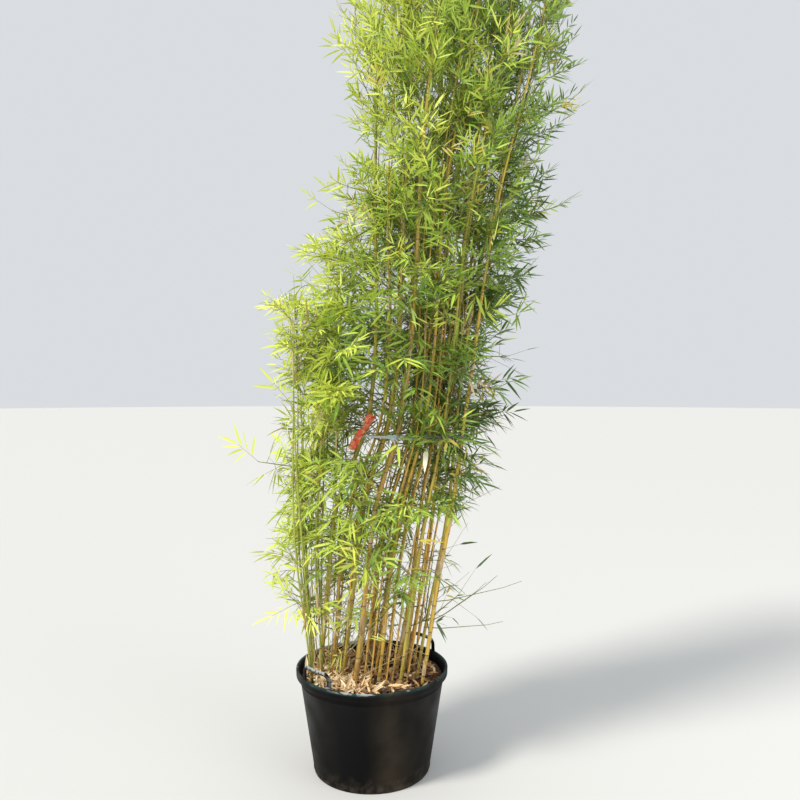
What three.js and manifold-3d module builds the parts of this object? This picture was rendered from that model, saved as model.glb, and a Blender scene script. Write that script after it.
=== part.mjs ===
// Potted bamboo: a black nursery tub with two strap handles, filled with potting soil, a clump of
// tall canes that lean to the right and are gathered by a tie, young shoots on the left, a marker
// ribbon, and masses of leafy twigs round the canes.
// Millimetres, +Z up. The origin is the middle of the tub's underside, and the front faces -Y.

import * as THREE from 'three';
import { mergeVertices } from 'three/addons/utils/BufferGeometryUtils.js';
import Module from 'manifold-3d';

const wasm = await Module();
wasm.setup();

const TURN = 2 * Math.PI;
const GOLDEN = (Math.sqrt(5) - 1) / 2;
const UP = new THREE.Vector3(0, 0, 1);

// Driving sizes.

// The gap kept between pieces that touch.
const GAP = 0.3;

const TUB = {
  height: 400,
  baseRadius: 230,
  bodyRadius: 286,
  rimRadius: 300,
  rimHeight: 28,
  wall: 5,
  floor: 8,
  edge: 4,
  // How far the wall stands in and down from the rim band's lower edge.
  shoulder: 1,
  shoulderDrop: 2,
  sides: 32,
};

const SOIL_TOP = 362;

const HANDLE = {
  width: 160,
  height: 56,
  strap: 18,
  bar: 14,
  thickness: 8,
  corner: 22,
  cornerSteps: 3,
  barSteps: 5,
  angles: { left: -137, right: 43 },
};

// The middle and half-widths of the clump of canes, at heights above the ground.
const CLUMP = [
  { z: 362, x: 10, halfWidth: 222, halfDepth: 205 },
  { z: 1000, x: 100, halfWidth: 245, halfDepth: 195 },
  { z: 1400, x: 190, halfWidth: 195, halfDepth: 165 },
  { z: 2200, x: 270, halfWidth: 265, halfDepth: 230 },
  { z: 3000, x: 380, halfWidth: 330, halfDepth: 290 },
  { z: 3900, x: 470, halfWidth: 360, halfDepth: 320 },
];

// The young shoots at the left stand outside the tie and rise almost straight.
const SHOOT_LINE = [
  { z: 362, x: -212, halfWidth: 26, halfDepth: 95 },
  { z: 1000, x: -245, halfWidth: 50, halfDepth: 150 },
  { z: 2100, x: -235, halfWidth: 90, halfDepth: 220 },
];

// The outline of the foliage: its furthest left and right, at heights above the ground.
const CROWN = [
  { z: 470, left: -290, right: 300 },
  { z: 850, left: -400, right: 430 },
  { z: 1250, left: -385, right: 530 },
  { z: 1650, left: -400, right: 600 },
  { z: 2050, left: -320, right: 760 },
  { z: 2450, left: -220, right: 790 },
  { z: 3040, left: -120, right: 880 },
  { z: 3500, left: 40, right: 860 },
  { z: 3900, left: 240, right: 740 },
];
const CROWN_DEPTH = 0.88;
const CROWN_LOW = 470;
const CROWN_TOP = 3900;

const CANE = {
  seed: 41,
  count: 18,
  shoots: 6,
  rings: 8,
  sides: 5,
  thin: 6.5,
  thick: 12,
  // A higher power makes more of the canes thin.
  thinPower: 1.6,
  shootRadius: 5.5,
  tipShare: 0.35,
  taperPower: 1.5,
  lowestTop: 3050,
  highestTop: 3760,
  shootTop: 1850,
  shootTopRange: 180,
  // How far the middle of the clump is moved to the right, and each cane at random, as shares of
  // its half-width.
  crowding: 0.2,
  scatter: 0.06,
  // The shoots stand in two rows, this share of the half-width from the middle, closer at the ends.
  shootRow: 0.8,
  shootRowBend: 0.3,
  // Canes sway by this much either way, from this far above the soil, in waves of these lengths.
  wobble: 9,
  wobbleRise: 400,
  waveX: 230,
  waveY: 260,
};

const MASS = {
  bands: 7,
  sectors: ['right', 'back', 'left', 'front'],
  // Every second sector's bands are moved up by this share of a band, less towards the top.
  stagger: 0.45,
  // How far the floor of a mass rises from the crown's middle to its outside.
  coneRise: 130,
  margin: 4,
  // How far twigs and leaves stay from canes, the tie and the ribbon.
  clearance: 1.5,
  twigs: 3,
  tries: 120,
  // How far the middle lines of leaves and twigs of one mass stay apart.
  leafRoom: 20,
  twigRoom: 16,
  firstSeed: 1000,
  sectorSeed: 100,
  sprigSeed: 57,
  stemSeed: 13,
  twigSeed: 31,
};

// Where a mass looks for the cane that bears it: shares of its height, a share of the cone's rise,
// and how far the place stays from the cane's tip and the crown's foot.
const BEARER = { ups: [0.3, 0.2, 0.4, 0.12, 0.5], out: 0.4, belowTip: 60, aboveFoot: 20, better: 0.001 };

// The ends of stems and twigs as shares of their cell: across its angle, out and up.
const STEM_END = { across: [0.3, 0.7], out: [0.45, 0.7], up: [0.4, 0.6], bend: 0.5, sag: 25 };
const TWIG_END = { across: [0.1, 0.9], out: [0.25, 0.82], up: [0.06, 0.8] };
// The stretch of the stem that twigs and sprigs leave from, and how much of a sprig is its end leaf.
const TWIG_ROOTS = [0.25, 0.9];
const SPRIG_ROOTS = [0.35, 0.97];
const SPRIG_LEAF = [0.6, 0.9];

const TWIG = {
  sides: 3,
  stemRadius: 6,
  stemTip: 4.5,
  radius: 4.2,
  tip: 3.4,
  longest: 420,
  // The shortest twig, as a share of a leaf's length.
  shortest: 0.5,
};

const LEAF = {
  length: 225,
  width: 46,
  thickness: 3.6,
  // Where the leaf is widest, as a share of its length from the root.
  widest: 0.22,
  tipSeat: 4,
  spacing: 30,
  perTwig: 6,
  perStem: 3,
  // The furthest back that a leaf sits, as a share of its twig.
  lastSeat: 0.85,
  // The shares of its length that a leaf's clear stretch starts at, and that its place is taken at.
  rootShare: 0.05,
  placeShare: 0.6,
  outward: 0.35,
  tipSpread: 0.9,
  spread: 1.9,
  facingSpread: 0.9,
  facingLift: 0.7,
  flattest: 0.88,
  // Leaves droop a little below one height and stand up above another.
  lowLift: -0.1,
  highLift: 0.9,
  liftFrom: 900,
  liftTo: 3300,
};

const TIE = { z: 1312, height: 14, thickness: 2.2, corners: 12, leastTurn: 0.5 };

const RIBBON = {
  z: 1346,
  knotHeight: 26,
  knotWall: 3.5,
  knotSides: 10,
  // The tail and ear leave the knot's front, this far to its left.
  knotOffset: 3,
  thickness: 2,
  tail: { length: 118, width: 27, direction: [-0.5, -0.5, -0.8], room: 20 },
  ear: { length: 58, width: 22, direction: [0.42, -0.3, 0.85], room: 18 },
};

const COLOURS = {
  tub: { color: 0x17181a, roughness: 0.42 },
  soil: { color: 0x6b4f38, roughness: 0.95 },
  cane: { color: 0xb98a3c, roughness: 0.5 },
  shoot: { color: 0x8d9440, roughness: 0.5 },
  leaf: { color: 0x9ab23a, roughness: 0.55 },
  ribbon: { color: 0xd8433a, roughness: 0.5 },
  tie: { color: 0x8fa3b0, roughness: 0.6 },
};

// Small helpers.

/** Returns a function that draws the same numbers from 0 to 1 for the same seed. */
function seeded(seed) {
  let state = seed >>> 0;
  return () => {
    state = (state + 0x6d2b79f5) >>> 0;
    let t = state;
    t = Math.imul(t ^ (t >>> 15), t | 1);
    t ^= t + Math.imul(t ^ (t >>> 7), t | 61);
    return ((t ^ (t >>> 14)) >>> 0) / 4294967296;
  };
}

const mix = (a, b, share) => a + (b - a) * share;
const vector = (x, y, z) => new THREE.Vector3(x, y, z);

/** The value of one key of a list of stations at a height, on a smooth curve through them. */
function smoothAt(stations, key, z) {
  const last = stations.length - 1;
  const height = Math.min(Math.max(z, stations[0].z), stations[last].z);
  let i = 0;
  while (i < last - 1 && height > stations[i + 1].z) i += 1;
  const slope = (k) => {
    const before = stations[Math.max(k - 1, 0)];
    const after = stations[Math.min(k + 1, last)];
    return (after[key] - before[key]) / (after.z - before.z);
  };
  const step = stations[i + 1].z - stations[i].z;
  const t = (height - stations[i].z) / step;
  const rise = t * t * (3 - 2 * t);
  const leave = t * (1 - t) * (1 - t) * step * slope(i);
  const arrive = t * t * (t - 1) * step * slope(i + 1);
  return mix(stations[i][key], stations[i + 1][key], rise) + leave + arrive;
}

/** The shortest distance between two line segments. */
function segmentGap(p1, q1, p2, q2) {
  const d1 = q1.clone().sub(p1);
  const d2 = q2.clone().sub(p2);
  const r = p1.clone().sub(p2);
  const a = d1.dot(d1);
  const e = d2.dot(d2);
  const f = d2.dot(r);
  const c = d1.dot(r);
  const b = d1.dot(d2);
  const denominator = a * e - b * b;
  let s = denominator > 1e-9 ? THREE.MathUtils.clamp((b * f - c * e) / denominator, 0, 1) : 0;
  const t = THREE.MathUtils.clamp((b * s + f) / e, 0, 1);
  s = THREE.MathUtils.clamp((b * t - c) / a, 0, 1);
  return p1.clone().addScaledVector(d1, s).distanceTo(p2.clone().addScaledVector(d2, t));
}

/** A manifold solid from a closed three.js geometry. */
function solidOf(geometry) {
  const bare = geometry.clone();
  bare.deleteAttribute('normal');
  bare.deleteAttribute('uv');
  const merged = mergeVertices(bare, 1e-4);
  const index = merged.index.array;
  const triangles = [];
  for (let i = 0; i < index.length; i += 3) {
    const [a, b, c] = [index[i], index[i + 1], index[i + 2]];
    if (a !== b && b !== c && c !== a) triangles.push(a, b, c);
  }
  const mesh = new wasm.Mesh({
    numProp: 3,
    vertProperties: new Float32Array(merged.attributes.position.array),
    triVerts: new Uint32Array(triangles),
  });
  return new wasm.Manifold(mesh);
}

/** The largest closed body of a solid, as a three.js geometry. */
function geometryOf(solid, tolerance = 0.02) {
  const bodies = solid.simplify(tolerance).decompose();
  bodies.sort((a, b) => b.volume() - a.volume());
  const mesh = bodies[0].getMesh();
  const geometry = new THREE.BufferGeometry();
  geometry.setAttribute('position', new THREE.BufferAttribute(mesh.vertProperties, 3));
  geometry.setIndex(new THREE.BufferAttribute(mesh.triVerts, 1));
  geometry.computeVertexNormals();
  return geometry;
}

/** Joins solids into one. */
function fuse(solids) {
  return wasm.Manifold.union(solids);
}

const object = new THREE.Group();

/** Adds a named mesh to the object. */
function addNode(name, geometry, finish) {
  const mesh = new THREE.Mesh(geometry, new THREE.MeshStandardMaterial({ ...finish, metalness: 0 }));
  mesh.name = name;
  object.add(mesh);
}

/** A turned solid from a profile of [radius, height] points, with its axis along Z. */
function turned(profile, sides) {
  const points = profile.map(([radius, height]) => new THREE.Vector2(radius, height));
  const geometry = new THREE.LatheGeometry(points, sides);
  geometry.rotateX(Math.PI / 2);
  return geometry;
}

// The tub: a tapering thin wall on a flat floor, with a thick rim band.

const rimLow = TUB.height - TUB.rimHeight;

/** The tub wall's inner radius at a height. */
function tubInner(z) {
  return mix(TUB.baseRadius, TUB.bodyRadius, z / rimLow) - TUB.wall;
}

function makeTub() {
  const { height, baseRadius, bodyRadius, rimRadius, floor, edge, shoulder, shoulderDrop } = TUB;
  const rimInner = tubInner(rimLow);
  const profile = [
    [0, 0],
    [baseRadius - edge, 0],
    [baseRadius, edge],
    [bodyRadius - shoulder, rimLow - shoulderDrop],
    [rimRadius - edge, rimLow],
    [rimRadius, rimLow + edge],
    [rimRadius, height - edge],
    [rimRadius - edge, height],
    [rimInner + edge, height],
    [rimInner, height - edge],
    [rimInner, rimLow],
    [tubInner(floor), floor],
    [0, floor],
  ];
  addNode('pot', geometryOf(solidOf(turned(profile, TUB.sides))), COLOURS.tub);
}

function makeSoil() {
  const low = TUB.floor + GAP;
  const side = GAP / Math.cos(Math.PI / TUB.sides);
  const profile = [
    [0, low],
    [tubInner(low) - side, low],
    [tubInner(SOIL_TOP) - side, SOIL_TOP],
    [0, SOIL_TOP],
  ];
  addNode('soil', geometryOf(solidOf(turned(profile, TUB.sides))), COLOURS.soil);
}

// The handles: flat straps that arch over the rim and follow its curve.

/** The points of one side of an arch, from its left foot to its right foot. */
function archPoints(halfWidth, top, corner) {
  const points = [vector(-halfWidth, 0, 0)];
  const cornerX = halfWidth - corner;
  for (let k = 0; k <= HANDLE.cornerSteps; k += 1) {
    const turn = (k / HANDLE.cornerSteps) * (Math.PI / 2);
    points.push(vector(-cornerX - corner * Math.cos(turn), top - corner + corner * Math.sin(turn), 0));
  }
  for (let k = 1; k < HANDLE.barSteps; k += 1) {
    points.push(vector(mix(-cornerX, cornerX, k / HANDLE.barSteps), top, 0));
  }
  for (let k = HANDLE.cornerSteps; k >= 0; k -= 1) {
    const turn = (k / HANDLE.cornerSteps) * (Math.PI / 2);
    points.push(vector(cornerX + corner * Math.cos(turn), top - corner + corner * Math.sin(turn), 0));
  }
  points.push(vector(halfWidth, 0, 0));
  return points;
}

function makeHandle(side) {
  const outer = archPoints(HANDLE.width / 2, HANDLE.height, HANDLE.corner);
  const innerCorner = HANDLE.corner - HANDLE.bar / 2;
  const inner = archPoints(HANDLE.width / 2 - HANDLE.strap, HANDLE.height - HANDLE.bar, innerCorner);
  const outline = new THREE.Shape([...outer, ...inner.reverse()].map((p) => new THREE.Vector2(p.x, p.y)));
  const geometry = new THREE.ExtrudeGeometry(outline, { depth: HANDLE.thickness, bevelEnabled: false });
  const rimMiddle = (TUB.rimRadius - TUB.edge + tubInner(rimLow) + TUB.edge) / 2;
  const position = geometry.attributes.position;
  const towards = THREE.MathUtils.degToRad(HANDLE.angles[side]);
  for (let i = 0; i < position.count; i += 1) {
    const radius = rimMiddle - HANDLE.thickness / 2 + position.getZ(i);
    const angle = towards + position.getX(i) / rimMiddle;
    const z = TUB.height + GAP + position.getY(i);
    position.setXYZ(i, radius * Math.cos(angle), radius * Math.sin(angle), z);
  }
  const solid = solidOf(geometry);
  addNode(`handle_${side}`, geometryOf(solid), COLOURS.tub);
}

// The canes: tapering tubes from a flat cut on the soil to their tips, placed in the clump like the
// seeds of a sunflower, and set closer towards the right.

class Cane {
  constructor(name, stations, u, v, radius, top, draw) {
    this.name = name;
    this.stations = stations;
    this.u = u;
    this.v = v;
    this.radius = radius;
    this.top = top;
    this.foot = SOIL_TOP + GAP;
    this.phases = [draw() * TURN, draw() * TURN];
    this.parts = this.segments();
  }

  radiusAt(z) {
    const share = (z - this.foot) / (this.top - this.foot);
    return this.radius * mix(1, CANE.tipShare, share ** CANE.taperPower);
  }

  at(z) {
    const rise = Math.min((z - this.foot) / CANE.wobbleRise, 1) * CANE.wobble;
    const x = smoothAt(this.stations, 'x', z) + this.u * smoothAt(this.stations, 'halfWidth', z);
    const y = this.v * smoothAt(this.stations, 'halfDepth', z);
    return vector(
      x + rise * Math.sin(z / CANE.waveX + this.phases[0]),
      y + rise * Math.sin(z / CANE.waveY + this.phases[1]),
      z,
    );
  }

  ringHeights() {
    return Array.from({ length: CANE.rings + 1 }, (_, k) => mix(this.foot, this.top, k / CANE.rings));
  }

  segments() {
    const heights = this.ringHeights();
    return heights.slice(1).map((z, k) => ({
      from: this.at(heights[k]),
      to: this.at(z),
      radius: this.radiusAt(heights[k]),
    }));
  }

  /** The middle of the tube at a height: its rings are joined by straight lines. */
  middleAt(z) {
    const place = ((z - this.foot) / (this.top - this.foot)) * CANE.rings;
    const k = THREE.MathUtils.clamp(Math.floor(place), 0, CANE.rings - 1);
    const heights = this.ringHeights();
    return this.at(heights[k]).lerp(this.at(heights[k + 1]), place - k);
  }

  /** The cane's tube, with its sides moved out by a gap, and longer by it at the tip. */
  tube(grown = 0) {
    const geometry = new THREE.CylinderGeometry(1, 1, 1, CANE.sides, CANE.rings);
    const position = geometry.attributes.position;
    const outset = grown / Math.cos(Math.PI / CANE.sides);
    for (let i = 0; i < position.count; i += 1) {
      const z = mix(this.foot, this.top, position.getY(i) + 0.5);
      const middle = this.at(z);
      const radius = this.radiusAt(z) + outset;
      const lift = grown > 0 && position.getY(i) > 0.499 ? grown : 0;
      position.setXYZ(
        i,
        middle.x + radius * position.getZ(i),
        middle.y + radius * position.getX(i),
        z + lift,
      );
    }
    return geometry;
  }
}

function makeCanes() {
  const draw = seeded(CANE.seed);
  const canes = [];
  for (let k = 0; k < CANE.count; k += 1) {
    const reach = Math.sqrt((k + 0.5) / CANE.count);
    const angle = k * GOLDEN * TURN;
    const evenU = reach * Math.cos(angle);
    const u = evenU + CANE.crowding * (1 - evenU * evenU) + CANE.scatter * (draw() - 0.5);
    const v = reach * Math.sin(angle) + CANE.scatter * (draw() - 0.5);
    const radius = mix(CANE.thin, CANE.thick, draw() ** CANE.thinPower);
    const top = mix(CANE.highestTop, CANE.lowestTop, draw());
    const name = `cane_${String(k + 1).padStart(2, '0')}`;
    canes.push(new Cane(name, CLUMP, u, v, radius, top, draw));
  }
  for (let k = 0; k < CANE.shoots; k += 1) {
    const v = mix(-1, 1, k / (CANE.shoots - 1));
    const u = (k % 2 ? CANE.shootRow : -CANE.shootRow) * (1 - CANE.shootRowBend * v * v);
    const top = CANE.shootTop + CANE.shootTopRange * (draw() - 0.5);
    canes.push(new Cane(`shoot_${k + 1}`, SHOOT_LINE, u, v, CANE.shootRadius, top, draw));
  }
  return canes;
}

// The tie: a flat band drawn round the whole clump.

/** The corners of the smallest convex outline round a set of points, counterclockwise. */
function hullOf(points) {
  const sorted = [...points].sort((a, b) => a.x - b.x || a.y - b.y);
  const turnOf = (o, a, b) => (a.x - o.x) * (b.y - o.y) - (a.y - o.y) * (b.x - o.x);
  const half = (list) => {
    const kept = [];
    for (const p of list) {
      while (kept.length > 1 && turnOf(kept.at(-2), kept.at(-1), p) <= TIE.leastTurn) kept.pop();
      kept.push(p);
    }
    kept.pop();
    return kept;
  };
  return [...half(sorted), ...half(sorted.reverse())];
}

/** The outline round the clump's canes over the tie's height, at a distance from them. */
function clumpOutline(canes, distance) {
  const points = [];
  const reach = 1 / Math.cos(Math.PI / TIE.corners);
  for (const cane of canes.filter((c) => c.stations === CLUMP)) {
    for (const z of [TIE.z - TIE.height / 2, TIE.z + TIE.height / 2]) {
      const middle = cane.middleAt(z);
      const radius = (cane.radiusAt(z) + distance) * reach;
      for (let k = 0; k < TIE.corners; k += 1) {
        const angle = (k / TIE.corners) * TURN;
        const corner = new THREE.Vector2(Math.cos(angle), Math.sin(angle)).multiplyScalar(radius);
        points.push(corner.add(new THREE.Vector2(middle.x, middle.y)));
      }
    }
  }
  return hullOf(points);
}

function makeTie(canes) {
  const outer = new THREE.Shape(clumpOutline(canes, GAP + TIE.thickness));
  const inner = new THREE.Path(clumpOutline(canes, GAP).reverse());
  outer.holes.push(inner);
  const geometry = new THREE.ExtrudeGeometry(outer, { depth: TIE.height, bevelEnabled: false });
  geometry.translate(0, 0, TIE.z - TIE.height / 2);
  addNode('tie_band', geometryOf(solidOf(geometry)), COLOURS.tie);
}

/** The tie as segments that leaves keep clear of. */
function tieSegments(canes) {
  const outline = clumpOutline(canes, GAP + TIE.thickness / 2);
  return outline.map((p, k) => {
    const next = outline[(k + 1) % outline.length];
    return { from: vector(p.x, p.y, TIE.z), to: vector(next.x, next.y, TIE.z), radius: TIE.height / 2 };
  });
}

// The marker ribbon: a knot round one cane, a short ear that points up and a tail that hangs down.

/** The front cane that carries the ribbon: the nearest to the front on the clump's left. */
function ribbonCane(canes) {
  const clump = canes.filter((c) => c.stations === CLUMP && c.u < 0 && c.v < 0);
  return clump.sort((a, b) => a.at(RIBBON.z).x + a.at(RIBBON.z).y - b.at(RIBBON.z).x - b.at(RIBBON.z).y)[0];
}

/** A strip of ribbon from the knot along its direction. */
function ribbonStrip(from, { length, width, direction }) {
  const geometry = new THREE.BoxGeometry(width, length, RIBBON.thickness);
  geometry.translate(0, length / 2, 0);
  const along = vector(...direction).normalize();
  const normal = vector(0, -1, 0).cross(along).cross(along).normalize();
  const side = along.clone().cross(normal);
  geometry.applyMatrix4(new THREE.Matrix4().makeBasis(side, along, normal).setPosition(from));
  return solidOf(geometry);
}

function makeRibbon(canes) {
  const cane = ribbonCane(canes);
  const middle = cane.middleAt(RIBBON.z);
  const radius = cane.radiusAt(RIBBON.z) + GAP;
  const half = RIBBON.knotHeight / 2;
  const ring = turned([
    [0, -half],
    [radius + RIBBON.knotWall, -half],
    [radius + RIBBON.knotWall, half],
    [0, half],
  ], RIBBON.knotSides);
  ring.translate(middle.x, middle.y, middle.z);
  const knotFront = vector(middle.x - RIBBON.knotOffset, middle.y - radius - RIBBON.knotWall / 2, middle.z);
  const tail = ribbonStrip(knotFront, RIBBON.tail);
  const ear = ribbonStrip(knotFront, RIBBON.ear);
  const solid = fuse([solidOf(ring), tail, ear]).subtract(solidOf(cane.tube(GAP)));
  addNode('marker_ribbon', geometryOf(solid), COLOURS.ribbon);
}

/** The ribbon as segments that leaves keep clear of. */
function ribbonSegments(canes) {
  const cane = ribbonCane(canes);
  const knot = cane.middleAt(RIBBON.z);
  return [RIBBON.tail, RIBBON.ear].map(({ length, direction, room }) => {
    const end = knot.clone().addScaledVector(vector(...direction).normalize(), length);
    return { from: knot, to: end, radius: room };
  });
}

// The foliage: the crown is shared out into cells, four round the middle in each band, and a mass of
// leafy twigs grows from one stem in each cell.

class Cell {
  constructor(sector, band) {
    this.sector = sector;
    this.band = band;
    this.name = `leaves_${MASS.sectors[sector]}_${band + 1}`;
    this.seed = MASS.firstSeed + sector * MASS.sectorSeed + band;
    this.low = band === 0 ? CROWN_LOW - MASS.coneRise : Cell.floor(sector, band);
    this.high = band === MASS.bands - 1 ? CROWN_TOP + MASS.coneRise : Cell.floor(sector, band + 1);
    this.middle = THREE.MathUtils.degToRad(sector * 90);
    this.halfAngle = Math.PI / 4;
  }

  /** The height at the crown's middle of the floor of a sector's band. */
  static floor(sector, band) {
    const rise = (CROWN_TOP - CROWN_LOW) / MASS.bands;
    const shift = sector % 2 ? MASS.stagger * rise * (1 - band / MASS.bands) : 0;
    return CROWN_LOW + band * rise + shift - MASS.coneRise / 2;
  }

  /** The crown's middle and half-widths at a height. */
  static section(z) {
    const left = smoothAt(CROWN, 'left', z);
    const right = smoothAt(CROWN, 'right', z);
    const halfWidth = (right - left) / 2;
    return { x: (left + right) / 2, halfWidth, halfDepth: halfWidth * CROWN_DEPTH };
  }

  /** The level direction away from the crown's middle at a point. */
  static outward(p) {
    return vector(p.x - Cell.section(p.z).x, p.y, 0).normalize();
  }

  /** The point at shares of the cell: across its angle, out from the middle, and up its height. */
  point(across, out, up) {
    const z = mix(this.low, this.high, up) + MASS.coneRise * out;
    const { x, halfWidth, halfDepth } = Cell.section(z);
    const angle = this.middle + mix(-this.halfAngle, this.halfAngle, across);
    return vector(x + out * halfWidth * Math.cos(angle), out * halfDepth * Math.sin(angle), z);
  }

  /** A seeded point of the cell within ranges of its shares. */
  pointIn(ranges, draw) {
    const across = mix(...ranges.across, draw());
    const out = mix(...ranges.out, draw());
    return this.point(across, out, mix(...ranges.up, draw()));
  }

  /** Tests that a point lies in the cell, and no further out than a share of the crown's half-width. */
  holds(p, reach = 1) {
    if (p.z < CROWN_LOW || p.z > CROWN_TOP) return false;
    const { x, halfWidth, halfDepth } = Cell.section(p.z);
    const dx = (p.x - x) / halfWidth;
    const dy = p.y / halfDepth;
    const out = Math.hypot(dx, dy);
    if (out > reach) return false;
    const base = p.z - MASS.coneRise * Math.min(out, 1);
    if (base < this.low + MASS.margin || base > this.high - MASS.margin) return false;
    const angle = Math.atan2(dy, dx) - this.middle;
    const turn = Math.abs(Math.atan2(Math.sin(angle), Math.cos(angle)));
    return turn < this.halfAngle && out * halfDepth * Math.sin(this.halfAngle - turn) > MASS.margin;
  }
}

// Long twigs that stand out of the crown: low and middle left, low and middle right, and the
// leading tips at the top.
const SPRIGS = [
  { mass: 'leaves_left_1', tip: [-440, -60, 800] },
  { mass: 'leaves_left_2', tip: [-590, -90, 1240] },
  { mass: 'leaves_left_4', tip: [-300, 60, 2250] },
  { mass: 'leaves_right_1', tip: [470, -60, 800] },
  { mass: 'leaves_right_3', tip: [690, 60, 1620] },
  { mass: 'leaves_right_7', tip: [640, 30, 3850] },
  { mass: 'leaves_back_7', tip: [500, 130, 3860] },
  { mass: 'leaves_left_7', tip: [330, -20, 3850] },
  { mass: 'leaves_front_7', tip: [480, -140, 3860] },
];

// Sprigs may stand this far out, as a share of the crown's half-width.
const SPRIG_REACH = 9;

/** A three-sided twig through points, tapering from one radius to another. */
function twigSolid(points, from, to) {
  const steps = points.length - 1;
  const geometry = new THREE.CylinderGeometry(1, 1, 1, TWIG.sides, steps);
  const position = geometry.attributes.position;
  for (let i = 0; i < position.count; i += 1) {
    const k = Math.round((position.getY(i) + 0.5) * steps);
    const along = points[Math.min(k + 1, steps)].clone().sub(points[Math.max(k - 1, 0)]).normalize();
    const side = along.clone().cross(UP).normalize();
    const other = side.clone().cross(along);
    const radius = mix(from, to, k / steps);
    const p = points[k].clone();
    p.addScaledVector(side, radius * position.getX(i)).addScaledVector(other, radius * position.getZ(i));
    position.setXYZ(i, p.x, p.y, p.z);
  }
  return solidOf(geometry);
}

/** A leaf of eight faces from its root along a direction, with its flat side towards a normal. */
function leafSolid(root, along, facing) {
  const geometry = new THREE.OctahedronGeometry(1);
  const position = geometry.attributes.position;
  for (let i = 0; i < position.count; i += 1) {
    const y = position.getY(i);
    const share = y > 0 ? y * (1 - LEAF.widest) : y * LEAF.widest;
    position.setXYZ(
      i,
      (position.getX(i) * LEAF.width) / 2,
      (share + LEAF.widest) * LEAF.length,
      (position.getZ(i) * LEAF.thickness) / 2,
    );
  }
  const side = along.clone().cross(facing).normalize();
  const normal = side.clone().cross(along);
  geometry.applyMatrix4(new THREE.Matrix4().makeBasis(side, along, normal).setPosition(root));
  return solidOf(geometry);
}

/** A direction near a given one, spread by seeded draws, and lifted by a share. */
function spreadFrom(along, spread, lift, draw) {
  const dx = draw() - 0.5;
  const dy = draw() - 0.5;
  const dz = draw() - 0.5;
  return vector(
    along.x + 2 * spread * dx,
    along.y + 2 * spread * dy,
    along.z + 2 * spread * dz + lift,
  ).normalize();
}

/** How far leaves point up at a height: they droop a little low down and stand up at the top. */
function liftAt(z) {
  return mix(LEAF.lowLift, LEAF.highLift, THREE.MathUtils.smoothstep(z, LEAF.liftFrom, LEAF.liftTo));
}

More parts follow.
